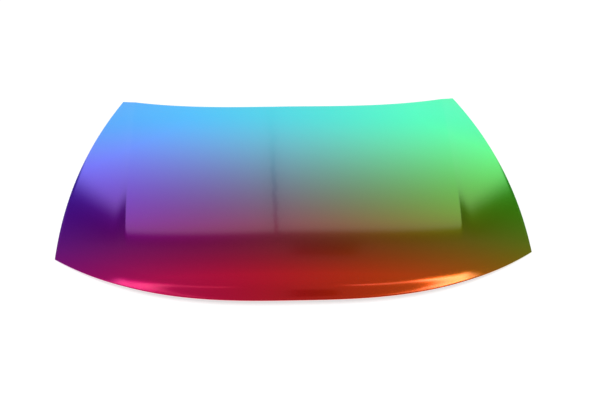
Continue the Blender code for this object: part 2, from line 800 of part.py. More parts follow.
def striker(collection):
    """The plate and nuts inside the front rail, and the striker bolted on below it."""
    seat = latch_seat()
    half = STRIKER_BOLT_SPACING / 2
    holes = [(-half, 0.0, BOLT_HOLE_RADIUS), (half, 0.0, BOLT_HOLE_RADIUS)]
    rounded_plate("latch_plate", LATCH_PLATE, seat.above(CLEARANCE), holes, PRIMER, collection)
    rounded_plate("striker_plate", STRIKER_PLATE, seat.below(CLEARANCE), holes, ZINC, collection)
    above = LATCH_PLATE[2] + 2 * CLEARANCE
    below = STRIKER_PLATE[2] + 2 * CLEARANCE
    shank_length = below + FRAME_THICKNESS + above + NUT_HEIGHT
    for side, word in SIDES:
        at = (side * half, 0.0)
        weld_nut(f"latch_nut_{word}", seat.above(above, at), collection)
        flanged_bolt(f"striker_bolt_{word}", seat.below(below, at), shank_length, collection)
    wire("striker_loop", striker_path(), STRIKER_WIRE_RADIUS, 2, ZINC, collection,
         seat.below(below))


def striker_path():
    """The striker wire's middle line: down, round a half circle and up again."""
    span = STRIKER_LOOP_HALF_SPAN
    straight = STRIKER_LOOP_DROP - STRIKER_WIRE_RADIUS - span
    turn = [math.pi * k / LOOP_STEPS for k in range(LOOP_STEPS + 1)]
    bend = [(0.0, span * math.cos(a), straight + span * math.sin(a)) for a in turn]
    return [(0.0, span, 0.0)] + bend + [(0.0, -span, 0.0)]


def rubber_stops(collection):
    """A round stop at each end of the front rail and a pad on each side rail."""
    for side, word in SIDES:
        profile = [
            (0.0, STOP_HEIGHT),
            (STOP_RADIUS - STOP_CHAMFER, STOP_HEIGHT),
            (STOP_RADIUS, STOP_HEIGHT - STOP_CHAMFER),
            (STOP_RADIUS, 0.0),
            (STOP_STEM_RADIUS, 0.0),
            (STOP_STEM_RADIUS, -STOP_STEM_LENGTH),
            (0.0, -STOP_STEM_LENGTH),
        ]
        place = stop_seat(side).below(CLEARANCE)
        turned(f"rubber_stop_{word}", profile, place, RUBBER, collection)
        side_pad(f"side_pad_{word}", side_rail_seat(side, PAD_PLACE).below(CLEARANCE), collection)


def side_pad(name, place, collection):
    """A rubber pad with a rounded face and a stem that plugs into the side rail."""
    bm = bmesh.new()
    box = Matrix.Translation((0, 0, PAD_SIZE[2] / 2)) @ Matrix.Diagonal((*PAD_SIZE, 1.0))
    bmesh.ops.create_cube(bm, size=1.0, matrix=box)
    face_edges = [edge for edge in bm.edges if min(v.co.z for v in edge.verts) > PAD_EDGE]
    bmesh.ops.bevel(
        bm, geom=face_edges, offset=PAD_EDGE, offset_type="OFFSET", affect="EDGES",
        segments=2, profile=0.5, material=-1,
    )
    pad = make_object(name, to_mesh(bm, name), RUBBER, collection, place)
    stem = cylinder_mesh(PAD_STEM_RADIUS, -PAD_STEM_LENGTH, PAD_SIZE[2] / 2, SMALL_SIDES)
    combine(pad, "UNION", make_helper(name + "_stem", stem, place))


def prop_rod_bush(collection):
    """The plastic bush in the right outer rib that the prop rod's end goes in."""
    profile = [
        (BUSH_BORE_RADIUS, BUSH_FLANGE_HEIGHT),
        (BUSH_RADIUS, BUSH_FLANGE_HEIGHT),
        (BUSH_RADIUS, 0.0),
        (BUSH_BODY_RADIUS, 0.0),
        (BUSH_BODY_RADIUS, -BUSH_BODY_LENGTH),
        (BUSH_BORE_RADIUS, -BUSH_BODY_LENGTH),
    ]
    turned("prop_rod_bush", profile, bush_seat().below(CLEARANCE), PLASTIC, collection)


def skin_stiffener(collection):
    """A thin plate glued under the skin behind the nose, where hands push the bonnet shut."""
    depth = SKIN_THICKNESS + CLEARANCE + FACET_SAG
    start, end = STIFFENER_START, STIFFENER_END
    distances = [mix(end, start, k / STIFFENER_STEPS) for k in range(STIFFENER_STEPS + 1)]

    def place(i, j):
        x = mix(-STIFFENER_HALF_WIDTH, STIFFENER_HALF_WIDTH, i / STIFFENER_COLUMNS)
        return under_skin(x, v_from_nose(x, distances[j]), depth)

    name = "skin_stiffener"
    bm = grid_sheet(STIFFENER_COLUMNS + 1, len(distances), place)
    plate = make_object(name, to_mesh(bm, name), PRIMER, collection)
    thicken(plate, STIFFENER_THICKNESS)


def mastic_beads(collection):
    """Beads of mastic between the skin and the two edges of each rib."""
    aside = RIB_HALF_BOTTOM + RAIL_WALL + FLANGE_WIDTH / 2
    top = SKIN_THICKNESS + CLEARANCE + FACET_SAG
    bottom = WINDOW_FLANGE_DEPTH - CLEARANCE
    edges = [
        (rear_x, front_x, edge)
        for rear_x, front_x in (INNER_RIB, OUTER_RIB)
        for edge in (-aside, aside)
    ]
    rows = [mix(MASTIC_START, MASTIC_END, k / MASTIC_STEPS) for k in range(MASTIC_STEPS + 1)]
    for side, word in SIDES:
        for number, (rear_x, front_x, edge) in enumerate(edges, start=1):

            def place(i, j):
                v = rows[j]
                x = side * (mix(rear_x, front_x, v) + edge) + (i - 0.5) * MASTIC_WIDTH
                return under_skin(x, v, top)

            name = f"mastic_bead_{word}_{number}"
            bm = grid_sheet(2, len(rows), place)
            bead = make_object(name, to_mesh(bm, name), MASTIC, collection)
            thicken(bead, bottom - top)


def hem_sealer(collection):
    """A thin bead of sealer on the frame, all along the folded edge of the skin."""
    at = (HEM_RETURN + HEM_FLANGE) / 2 + SEALER_RADIUS
    depth = HEM_DEPTH + FRAME_THICKNESS + CLEARANCE + SEALER_RADIUS
    inner_columns = [column for column, _ in panel_columns(0.0)[2:-2]]
    inner_rows = [row for row, _ in panel_rows(0.0)[2:-2]]
    right, left = side_x(at), mirror_of(side_x(at))
    nose, rear = (1.0, -at), (0.0, at)
    path = [cross(column, nose) for column in (left, *inner_columns, right)]
    path += [cross(right, row) for row in reversed(inner_rows)]
    path += [cross(column, rear) for column in (right, *reversed(inner_columns), left)]
    path += [cross(left, row) for row in inner_rows]
    points = [under_skin(x, v, depth) for x, v in path]
    wire("hem_sealer", points, SEALER_RADIUS, 1, SEALER, collection, closed=True)


def main():
    """Clears the scene and builds the bonnet."""
    for obj in list(bpy.data.objects):
        bpy.data.objects.remove(obj)
    bonnet = bpy.data.collections.new("car_bonnet")
    cutting = bpy.data.collections.new("cutters")
    for collection in (bonnet, cutting):
        bpy.context.scene.collection.children.link(collection)
    outer_skin(bonnet)
    inner_frame(bonnet)
    hinge_fixings(bonnet)
    striker(bonnet)
    rubber_stops(bonnet)
    prop_rod_bush(bonnet)
    skin_stiffener(bonnet)
    mastic_beads(bonnet)
    hem_sealer(bonnet)


main()
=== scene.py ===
"""The looks of a car bonnet that lies on its own edges in a plain studio.

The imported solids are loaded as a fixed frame. Each sub-assembly below rebuilds its own pieces
finely, from the same sizes, and stands for those solids. The camera looks down on the nose.
"""

import logging
import math
from collections.abc import Callable, Iterable, Sequence
from dataclasses import dataclass, field
from enum import Enum

import bmesh
import bpy
from mathutils import Matrix, Vector


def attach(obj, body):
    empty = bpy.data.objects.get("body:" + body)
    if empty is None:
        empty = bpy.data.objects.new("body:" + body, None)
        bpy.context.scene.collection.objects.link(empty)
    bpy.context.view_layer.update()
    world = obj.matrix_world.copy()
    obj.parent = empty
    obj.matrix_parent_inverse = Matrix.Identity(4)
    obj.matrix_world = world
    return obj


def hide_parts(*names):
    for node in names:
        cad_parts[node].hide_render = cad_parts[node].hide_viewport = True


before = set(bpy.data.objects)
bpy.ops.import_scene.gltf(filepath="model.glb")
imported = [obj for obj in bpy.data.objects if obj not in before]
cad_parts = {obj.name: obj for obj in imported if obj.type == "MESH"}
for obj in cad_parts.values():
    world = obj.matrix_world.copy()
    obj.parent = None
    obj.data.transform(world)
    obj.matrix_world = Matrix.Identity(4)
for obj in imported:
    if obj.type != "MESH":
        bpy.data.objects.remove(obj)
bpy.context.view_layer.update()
log = logging.getLogger("car_bonnet")

Column = Callable[[float], float]
Row = tuple[float, float]
Profile = Sequence[tuple[float, float]]
Tree = bpy.types.NodeTree
Socket = bpy.types.NodeSocket
Shape = bmesh.types.BMesh

MM_PER_METRE = 1000


class Side(Enum):
    """The two sides of the bonnet, as seen from its nose."""

    LEFT = -1
    RIGHT = 1

    @property
    def word(self) -> str:
        """The side's name as the nodes write it."""
        return self.name.lower()


class Slot(Enum):
    """The material slots, by name."""

    PAINT = "body_paint"
    PRIMER = "frame_primer"
    ZINC = "zinc_plate"
    RUBBER = "stop_rubber"
    PLASTIC = "bush_plastic"
    MASTIC = "mastic"
    SEALER = "sealer"


def mix(start: float, end: float, share: float) -> float:
    """The value at a share of the way from start to end."""
    return start + (end - start) * share


def ease(share: float) -> float:
    """A share from 0 to 1 that starts and stops gently, and is held at both ends."""
    held = min(max(share, 0.0), 1.0)
    return held * held * (3 - 2 * held)


@dataclass(frozen=True)
class BonnetForm:
    """The outside of the skin in metres, over x and over v from 0 at the rear to 1 at the nose."""

    length: float = 0.979
    rear_half_width: float = 0.597
    front_half_width: float = 0.720
    side_bulge: float = 0.039
    rear_hollow: float = 0.097
    rear_hollow_power: float = 2.6
    nose_bow: float = 0.193
    nose_bow_power: float = 2.8
    rear_crease_x: float = 0.553
    front_crease_x: float = 0.502
    crease_softness: float = 0.003
    crease_softness_front: float = 0.018
    crease_fade: tuple[float, float] = (0.72, 0.95)
    hollow_slope: float = 0.06
    hollow_width: float = 0.032
    rear_crown: float = 0.044
    front_crown: float = 0.043
    rear_rise: float = 0.10
    front_fall: float = 0.17
    side_arch: float = 0.010
    rear_crease_drop: float = 0.0335
    front_crease_drop: float = 0.018
    crease_to_side_bend: float = 0.10
    nose_roll: float = 0.045
    nose_steepest: float = 0.014
    nose_plain: tuple[float, float] = (0.5, 0.8)
    nose_drop: float = 0.029
    edge_level: float = 0.00355
    step: float = 0.002

    def half_width(self, v: float) -> float:
        """Half the skin's width at v."""
        return mix(self.rear_half_width, self.front_half_width, v) + self.side_bulge * 4 * v * (1 - v)

    def crease_x(self, v: float) -> float:
        """Where the right crease runs."""
        return mix(self.rear_crease_x, self.front_crease_x, v)

    def rear_edge_y(self, q: float) -> float:
        """The rear edge at a share q of the half width."""
        return self.length / 2 - self.rear_hollow * (1 - abs(q) ** self.rear_hollow_power)

    def front_edge_y(self, q: float) -> float:
        """The front edge at a share q of the half width."""
        return self.nose_bow * abs(q) ** self.nose_bow_power - self.length / 2

    def rear_slope(self, q: float) -> float:
        """How steeply the right half of the rear edge runs back."""
        steep = self.rear_hollow * self.rear_hollow_power / self.rear_half_width
        return steep * q ** (self.rear_hollow_power - 1)

    def front_slope(self, q: float) -> float:
        """How steeply the right half of the front edge runs back."""
        steep = self.nose_bow * self.nose_bow_power / self.front_half_width
        return steep * q ** (self.nose_bow_power - 1)

    def length_at(self, q: float) -> float:
        """Length of the skin, rear edge to front edge, at a share q of the half width."""
        return self.rear_edge_y(q) - self.front_edge_y(q)

    def share_across(self, x: float, v: float) -> float:
        """How far out x is, from 0 in the middle to 1 at the side edge."""
        return min(abs(x) / self.half_width(v), 1.0)

    def v_of_row(self, row: Row, q: float) -> float:
        """The v of a row at q. A row is a share of the length and a distance added to it."""
        share, distance = row
        slope = mix(self.rear_slope(q), self.front_slope(q), share)
        return share + distance * math.hypot(1, slope) / self.length_at(q)

    def v_from_rear(self, x: float, distance: float) -> float:
        """The v at a distance in front of the rear edge, at about x."""
        return self.v_of_row((0.0, distance), self.share_across(x, 0.0))

    def v_from_nose(self, x: float, distance: float) -> float:
        """The v at a distance behind the front edge, at about x."""
        return self.v_of_row((1.0, -distance), self.share_across(x, 1.0))

    def from_rear(self, x: float, v: float) -> float:
        """The distance of a place from the rear edge."""
        q = self.share_across(x, v)
        return v * self.length_at(q) / math.hypot(1, self.rear_slope(q))

    def from_nose(self, x: float, v: float) -> float:
        """The distance of a place from the front edge."""
        q = self.share_across(x, v)
        return (1 - v) * self.length_at(q) / math.hypot(1, self.front_slope(q))

    def centre_height(self, v: float) -> float:
        """Height of the middle line before the nose rolls down."""
        length = self.length_at(0)
        rise, fall = self.rear_rise * length, -self.front_fall * length
        return (
            (2 * v**3 - 3 * v**2 + 1) * self.rear_crown
            + (v**3 - 2 * v**2 + v) * rise
            + (3 * v**2 - 2 * v**3) * self.front_crown
            + (v**3 - v**2) * fall
        )

    def roll(self, from_nose: float, q: float) -> float:
        """How far the nose has rolled down, at a distance from the front edge.

        Args:
            from_nose: Distance from the front edge.
            q: Share of the half width. The nose is steepest a little way behind its edge in the
                middle, and at its edge towards the corners.

        Returns:
            The height that the roll takes off.
        """
        start, end = self.nose_plain
        steepest = self.nose_steepest * (1 - ease((q - start) / (end - start)))
        turn = 3 * (self.nose_roll - steepest)
        into = max(self.nose_roll - from_nose, 0.0)
        deepest = self.nose_drop * (1 - q**2)
        return deepest * into**2 * (turn - into) / (self.nose_roll**2 * (turn - self.nose_roll))

    def faded(self, v: float) -> float:
        """How far the crease has faded out, from 0 on the panel to 1 at the nose."""
        start, end = self.crease_fade
        return ease((v - start) / (end - start))

    def softness(self, v: float) -> float:
        """How far the crease's radius reaches to each side at v."""
        return mix(self.crease_softness, self.crease_softness_front, self.faded(v))

    def crease_rounding(self, off_crease: float, softness: float, turn: float) -> float:
        """How far the crease's small radius lies under its sharp line.

        Args:
            off_crease: Distance from the crease's line.
            softness: How far the radius reaches to each side.
            turn: How much the slope changes across the crease.

        Returns:
            The height that the radius takes off.
        """
        inside = softness - abs(off_crease)
        if inside <= 0:
            return 0.0
        return turn * inside**2 / (4 * softness)

    def hollow(self, out_by: float, beyond: float) -> float:
        """How far the flank is hollowed just outside the crease, where it falls more steeply.

        Args:
            out_by: Distance outside the crease's line.
            beyond: Distance from the crease to the side edge, where the hollow has run out.

        Returns:
            The height that a hollow with a slope of 1 beside the crease takes off.
        """
        inside = min(out_by, self.hollow_width)
        return inside - inside**2 / (2 * self.hollow_width) - self.hollow_width / 2 * out_by / beyond

    def height(self, x: float, v: float) -> float:
        """Height of the outside of the skin above the floor."""
        middle = self.centre_height(v)
        side = self.side_arch * 4 * v * (1 - v)
        crease = middle - mix(self.rear_crease_drop, self.front_crease_drop, v)
        crease_at = self.crease_x(v)
        beyond = self.half_width(v) - crease_at
        hollow_slope = self.hollow_slope * (1 - self.faded(v))
        if abs(x) <= crease_at:
            height = mix(middle, crease, (x / crease_at) ** 2)
        else:
            out = (abs(x) - crease_at) / beyond
            bent = (1 - self.crease_to_side_bend) * out + self.crease_to_side_bend * out**2
            height = mix(crease, side, bent) - hollow_slope * self.hollow(abs(x) - crease_at, beyond)
        inner_slope = 2 * (crease - middle) / crease_at
        outer_slope = (1 - self.crease_to_side_bend) * (side - crease) / beyond - hollow_slope
        height -= self.crease_rounding(abs(x) - crease_at, self.softness(v), inner_slope - outer_slope)
        rolled = self.roll(self.from_nose(x, v), self.share_across(x, v))
        return self.edge_level + height - rolled

    def point(self, x: float, v: float) -> Vector:
        """The point of the outside of the skin at x and v."""
        q = self.share_across(x, v)
        return Vector((x, mix(self.rear_edge_y(q), self.front_edge_y(q), v), self.height(x, v)))

    def normal(self, x: float, v: float) -> Vector:
        """The outward normal of the skin, from points a little way off on both sides."""
        inner_v = max(self.step, min(1 - self.step, v))
        reach = self.half_width(v) - self.step
        inner_x = max(-reach, min(reach, x))
        across = self.point(inner_x + self.step, inner_v) - self.point(inner_x - self.step, inner_v)
        along = self.point(inner_x, inner_v - self.step) - self.point(inner_x, inner_v + self.step)
        return across.cross(along).normalized()

    def under(self, x: float, v: float, depth: float) -> Vector:
        """The point at a depth under the outside of the skin, measured square to it."""
        return self.point(x, v) - self.normal(x, v) * depth

    def cross(self, column: Column, row: Row) -> tuple[float, float]:
        """The x and v where a column crosses a row."""
        v = row[0]
        for _ in range(3):
            v = self.v_of_row(row, self.share_across(column(v), v))
        return column(v), v


def add_node(
    tree: Tree,
    kind: str,
    settings: dict[str, object] | None = None,
    inputs: dict[str | int, object] | None = None,
) -> bpy.types.Node:
    """Adds a node with its settings and links.

    Args:
        tree: The material's or the world's node tree.
        kind: Blender's name for the kind of node.
        settings: Properties of the node.
        inputs: A value or an output socket for each input, by its name or number.

    Returns:
        The new node.
    """
    node = tree.nodes.new(kind)
    for name, value in (settings or {}).items():
        setattr(node, name, value)
    for key, value in (inputs or {}).items():
        if isinstance(value, Socket):
            tree.links.new(value, node.inputs[key])
        else:
            node.inputs[key].default_value = value
    return node


def linear(colour: str) -> tuple[float, float, float, float]:
    """Turns an sRGB hex colour such as #8090A0 to the linear colour that a shader reads."""
    parts = [int(colour[k : k + 2], 16) / 255 for k in (1, 3, 5)]
    lit = [c / 12.92 if c <= 0.04045 else ((c + 0.055) / 1.055) ** 2.4 for c in parts]
    return (*lit, 1.0)


@dataclass(frozen=True)
class Signal:
    """A number that changes over a surface. Each sum on it adds one node to its tree."""

    tree: Tree
    socket: Socket

    def apply(self, operation: str, *others: "Signal | float") -> "Signal":
        """Puts the signal through a sum.

        Args:
            operation: Blender's name for the sum, such as MAXIMUM.
            others: What else goes in, in its order.

        Returns:
            The result.
        """
        values = [other.socket if isinstance(other, Signal) else other for other in (self, *others)]
        node = add_node(self.tree, "ShaderNodeMath", {"operation": operation}, dict(enumerate(values)))
        return Signal(self.tree, node.outputs[0])

    def __add__(self, other: "Signal | float") -> "Signal":
        """The signal with another one or a number added."""
        return self.apply("ADD", other)

    def __sub__(self, other: "Signal | float") -> "Signal":
        """The signal with another one or a number taken off."""
        return self.apply("SUBTRACT", other)

    def __mul__(self, other: "Signal | float") -> "Signal":
        """The signal times another one or a number."""
        return self.apply("MULTIPLY", other)

    def __abs__(self) -> "Signal":
        """The signal without its sign."""
        return self.apply("ABSOLUTE")

    def step(self, start: float, end: float, low: float = 0.0, high: float = 1.0) -> "Signal":
        """A smooth step from low to high.

        Args:
            start: The signal's value where the step begins.
            end: Its value where the step ends.
            low: The result before the step.
            high: The result after it.

        Returns:
            The result.
        """
        settings = {"interpolation_type": "SMOOTHSTEP"}
        inputs = {0: self.socket, 1: start, 2: end, 3: low, 4: high}
        node = add_node(self.tree, "ShaderNodeMapRange", settings, inputs)
        return Signal(self.tree, node.outputs[0])


def axes_of(tree: Tree, place: Socket) -> list[Signal]:
    """The X, Y and Z of a place, each as a signal."""
    split = add_node(tree, "ShaderNodeSeparateXYZ", inputs={0: place})
    return [Signal(tree, axis) for axis in split.outputs]


@dataclass(frozen=True)
class HueCurve:
    """How strong one colour channel is over the panel, as sRGB: a cubic along Y, tilted along X."""

    level: float
    along: float
    bend: float
    twist: float
    across: float
    fan: float
    gamma: float = 2.2

    def value(self, x: Signal, y: Signal) -> Signal:
        """The channel as a linear value at a place."""
        middle = ((y * self.twist + self.bend) * y + self.along) * y + self.level
        whole = (y * self.fan + self.across) * x + middle
        return whole.apply("MAXIMUM", 0.0).apply("MINIMUM", 1.0).apply("POWER", self.gamma)


@dataclass(frozen=True)
class Patches:
    """Patches that are shinier or duller than the rest of a surface."""

    size_mm: float
    detail: float
    shinier: float
    duller: float
    contrast: tuple[float, float] = (0.3, 0.7)

    def add(self, tree: Tree, shader: bpy.types.Node, place: Socket) -> None:
        """Varies a shader's roughness with the patches.

        Args:
            tree: The material's node tree.
            shader: Its Principled shader.
            place: Object coordinates in metres.
        """
        scale = MM_PER_METRE / self.size_mm
        inputs = {"Vector": place, "Scale": scale, "Detail": self.detail}
        noise = add_node(tree, "ShaderNodeTexNoise", inputs=inputs).outputs[0]
        middle = shader.inputs["Roughness"].default_value
        start, end = self.contrast
        inputs = {0: noise, 1: start, 2: end, 3: middle - self.shinier, 4: middle + self.duller}
        sheen = add_node(tree, "ShaderNodeMapRange", inputs=inputs).outputs[0]
        tree.links.new(sheen, shader.inputs["Roughness"])


@dataclass(frozen=True)
class Grain:
    """A fine relief that a surface got when it was made."""

    size_mm: float
    detail: float
    strength: float
    depth: float
    socket: str = "Normal"

    def add(self, tree: Tree, shader: bpy.types.Node, place: Socket) -> None:
        """Adds the relief to a shader.

        Args:
            tree: The material's node tree.
            shader: Its Principled shader.
            place: Object coordinates in metres.
        """
        scale = MM_PER_METRE / self.size_mm
        inputs = {"Vector": place, "Scale": scale, "Detail": self.detail}
        height = add_node(tree, "ShaderNodeTexNoise", inputs=inputs).outputs[0]
        inputs = {"Height": height, "Strength": self.strength, "Distance": self.depth}
        bump = add_node(tree, "ShaderNodeBump", inputs=inputs).outputs[0]
        tree.links.new(bump, shader.inputs[self.socket])


@dataclass(frozen=True)
class Finish:
    """A surface finish: one Principled shader with procedural patterns over it."""

    name: str
    slot: Slot
    colour: str
    roughness: float
    metallic: float = 0.0
    patches: Patches | None = None
    grain: Grain | None = None

    def material(self) -> bpy.types.Material:
        """The finish's material, made the first time that it is asked for."""
        found = bpy.data.materials.get(self.name)
        if found:
            return found
        made = bpy.data.materials.new(self.name)
        made.use_nodes = True
        tree = made.node_tree
        shader = tree.nodes["Principled BSDF"]
        shader.inputs["Base Color"].default_value = linear(self.colour)
        shader.inputs["Roughness"].default_value = self.roughness
        shader.inputs["Metallic"].default_value = self.metallic
        place = add_node(tree, "ShaderNodeTexCoord").outputs["Object"]
        self.dress(tree, shader, place)
        return made

    def dress(self, tree: Tree, shader: bpy.types.Node, place: Socket) -> None:
        """Adds the finish's patterns.

        Args:
            tree: The material's node tree.
            shader: Its Principled shader.
            place: Object coordinates in metres.
        """
        for pattern in (self.patches, self.grain):
            if pattern:
                pattern.add(tree, shader, place)


@dataclass(frozen=True)
class BodyPaint(Finish):
    """Metallic paint under clear lacquer, whose hue turns with the place on the panel.

    Flakes in the coloured coat blur what they mirror and tint it. The lacquer over them mirrors
    sharply and without tint, so the studio's bright wall ends in a crisp line on the bonnet.
    """

    lacquer_roughness: float = 0.035
    lacquer_ior: float = 1.38
    red: HueCurve = HueCurve(0.374, -0.226, 0.242, -6.505, -0.062, -0.022)
    green: HueCurve = HueCurve(0.540, 1.197, -0.175, -2.233, 0.452, -0.279)
    blue: HueCurve = HueCurve(0.586, 1.249, -0.299, -2.419, -0.471, 0.389)

    def dress(self, tree: Tree, shader: bpy.types.Node, place: Socket) -> None:
        """Adds the gradient of hues, the lacquer and its orange peel.

        Args:
            tree: The material's node tree.
            shader: Its Principled shader.
            place: Object coordinates in metres.
        """
        x, y, _ = axes_of(tree, place)
        channels = [curve.value(x, y).socket for curve in (self.red, self.green, self.blue)]
        colour = add_node(tree, "ShaderNodeCombineColor", inputs=dict(enumerate(channels)))
        tree.links.new(colour.outputs[0], shader.inputs["Base Color"])
        shader.inputs["Coat Weight"].default_value = 1.0
        shader.inputs["Coat Roughness"].default_value = self.lacquer_roughness
        shader.inputs["Coat IOR"].default_value = self.lacquer_ior
        super().dress(tree, shader, place)


ORANGE_PEEL = Grain(7.0, 1.0, 1.0, 0.00002, "Coat Normal")
BODY_PAINT = BodyPaint("metallic_paint", Slot.PAINT, "#808080", 0.15, 0.72, grain=ORANGE_PEEL)

# Dark primer from a dip bath is satin, with faint clouds where it ran and drained.
DIP_CLOUDS = Patches(60.0, 4.0, 0.06, 0.08)
DIP_GRAIN = Grain(1.2, 2.0, 0.25, 0.0002)
FRAME_PRIMER = Finish("dip_primer", Slot.PRIMER, "#26282B", 0.42, 0.0, DIP_CLOUDS, DIP_GRAIN)

# Zinc plate with a clear passivation is a soft grey metal, spangled with duller patches.
SPANGLE = Patches(5.0, 5.0, 0.08, 0.12)
ZINC_PLATE = Finish("passivated_zinc", Slot.ZINC, "#C9C8C0", 0.36, 1.0, SPANGLE)

# Moulded rubber and plastic and squeezed beads are matt, with a grain that breaks up the light.
MOULD_GRAIN = Grain(0.8, 3.0, 0.5, 0.00008)
RUBBER = Finish("moulded_rubber", Slot.RUBBER, "#1B1B1C", 0.72, grain=MOULD_GRAIN)
PLASTIC = Finish("acetal_plastic", Slot.PLASTIC, "#C4C5C5", 0.48, grain=MOULD_GRAIN)
MASTIC = Finish("anti_flutter_mastic", Slot.MASTIC, "#59595B", 0.66, grain=MOULD_GRAIN)
SEALER = Finish("seam_sealer", Slot.SEALER, "#ADADA9", 0.45, grain=MOULD_GRAIN)


def smooth_object(bm: Shape, name: str, finish: Finish, sharp_deg: float = 35.0) -> bpy.types.Object:
    """An object for a finished bmesh, shaded smooth apart from its sharp edges.

    Args:
        bm: The shape, in the bonnet's own frame. It is freed.
        name: The object's name.
        finish: Its finish.
        sharp_deg: Edges that turn by more than this stay sharp.

    Returns:
        The new object, linked to the scene.
    """
    mesh = bpy.data.meshes.new(name)
    bm.to_mesh(mesh)
    bm.free()
    mesh.shade_smooth()
    mesh.set_sharp_from_angle(angle=math.radians(sharp_deg))
    obj = bpy.data.objects.new(name, mesh)
    bpy.context.scene.collection.objects.link(obj)
    mesh.materials.append(finish.material())
    return obj


def stand_for(piece: bpy.types.Object, finish: Finish, *nodes: str) -> None:
    """Makes a piece ride on the bonnet and stand for its solids, and reports it.

    Args:
        piece: The finished piece.
        finish: Not used.
        nodes: The solids that it replaces.
    """
    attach(piece, "root")
    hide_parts(*nodes)
    log.info("%s: %d faces, for %s", piece.name, len(piece.data.polygons), ", ".join(nodes))


def bake(obj: bpy.types.Object) -> None:
    """Applies an object's modifiers to its mesh."""
    graph = bpy.context.evaluated_depsgraph_get()
    mesh = bpy.data.meshes.new_from_object(obj.evaluated_get(graph))
    old = obj.data
    obj.modifiers.clear()
    obj.data = mesh
    mesh.name = old.name
    bpy.data.meshes.remove(old)


def thicken(obj: bpy.types.Object, thickness: float) -> bpy.types.Modifier:
    """Gives a sheet its thickness, on the side away from its normals."""
    wall = obj.modifiers.new("thickness", "SOLIDIFY")
    wall.thickness = thickness
    wall.offset = -1.0
    return wall


def grid_sheet(columns: int, rows: int, place: Callable[[int, int], Vector]) -> Shape:
    """A grid of vertices, each of them put in its place.

    Args:
        columns: How many vertices there are from left to right.
        rows: How many there are from rear to front.
        place: Gives the point of a column and a row.

    Returns:
        The sheet, with its faces looking up.
    """
    bm = bmesh.new()
    across, along = columns - 1, rows - 1
    bmesh.ops.create_grid(bm, x_segments=across, y_segments=along, size=1.0)
    for vert in bm.verts:
        i = round((vert.co.x + 1) / 2 * across)
        j = round((1 - vert.co.y) / 2 * along)
        vert.co = place(i, j)
    bm.normal_update()
    return bm


def spread(start: float, end: float, steps: int) -> list[float]:
    """Evenly spaced values from start to end, both of them included."""
    return [mix(start, end, k / steps) for k in range(steps + 1)]


@dataclass
class OuterSkin:
    """The painted outer panel, with its edge folded back on itself all round."""

    form: BonnetForm
    thickness: float = 0.0008
    hem_radius: float = 0.00162
    hem_return: float = 0.009
    hem_steps: int = 8
    inner_columns: int = 50
    crease_columns: int = 6
    outer_columns: int = 20
    rear_rows: int = 96
    nose_rows: int = 26
    nose_reach: float = 0.060

    def columns(self) -> list[Column]:
        """The lines of the grid that run from rear to nose, left to right."""
        form = self.form

        def near(v: float) -> float:
            """How far the fine columns reach to each side of the crease."""
            return 2 * form.softness(v)

        def inside(share: float) -> Column:
            """A column between the middle line and the crease."""
            return lambda v: share * (form.crease_x(v) - near(v))

        def at_crease(share: float) -> Column:
            """A column over the crease's radius."""
            return lambda v: form.crease_x(v) + mix(-near(v), near(v), share)

        def outside(share: float) -> Column:
            """A column between the crease and the side edge."""
            return lambda v: mix(form.crease_x(v) + near(v), form.half_width(v), share)

        right = [inside(share) for share in spread(0.0, 1.0, self.inner_columns)[1:]]
        right += [at_crease(share) for share in spread(0.0, 1.0, self.crease_columns)[1:]]
        right += [outside(share) for share in spread(0.0, 1.0, self.outer_columns)[1:]]
        left = [lambda v, column=column: -column(v) for column in reversed(right)]
        return left + [lambda v: 0.0] + right

    def rows(self) -> list[float]:
        """The v of each line that runs from side to side, closer together in the nose."""
        start_of_nose = 1 - self.nose_reach / self.form.length_at(0)
        rows = spread(0.0, start_of_nose, self.rear_rows)
        return rows + spread(start_of_nose, 1.0, self.nose_rows)[1:]

    def build(self) -> bpy.types.Object:
        """Builds the panel, paints it and primes its inside."""
        columns, rows = self.columns(), self.rows()

        def place(i: int, j: int) -> Vector:
            """The point of the skin where a column crosses a row."""
            return self.form.point(columns[i](rows[j]), rows[j])

        bm = grid_sheet(len(columns), len(rows), place)
        turns = [math.pi * k / self.hem_steps for k in range(1, self.hem_steps + 1)]
        radius = self.hem_radius
        steps = [(radius * math.sin(a), radius * (1 - math.cos(a))) for a in turns]
        steps += [(-self.hem_return * share, 2 * radius) for share in (0.25, 0.5, 0.75, 1.0)]
        fold_rim(bm, steps)
        skin = smooth_object(bm, "painted_skin", BODY_PAINT)
        skin.data.materials.append(FRAME_PRIMER.material())
        wall = thicken(skin, self.thickness)
        wall.material_offset = 1
        stand_for(skin, BODY_PAINT, "outer_skin")
        return skin


def rim_directions(vert: bmesh.types.BMVert) -> tuple[Vector, Vector]:
    """Outwards and downwards at a rim vertex. Outwards is mitred where two edges meet."""
    outward = []
    for edge in vert.link_edges:
        if edge.is_boundary:
            along = (edge.verts[1].co - edge.verts[0].co).normalized()
            away = edge.verts[0].co - edge.link_faces[0].calc_center_median()
            outward.append((away - along * away.dot(along)).normalized())
    first, second = outward
    return (first + second) / (1 + first.dot(second)), -vert.normal


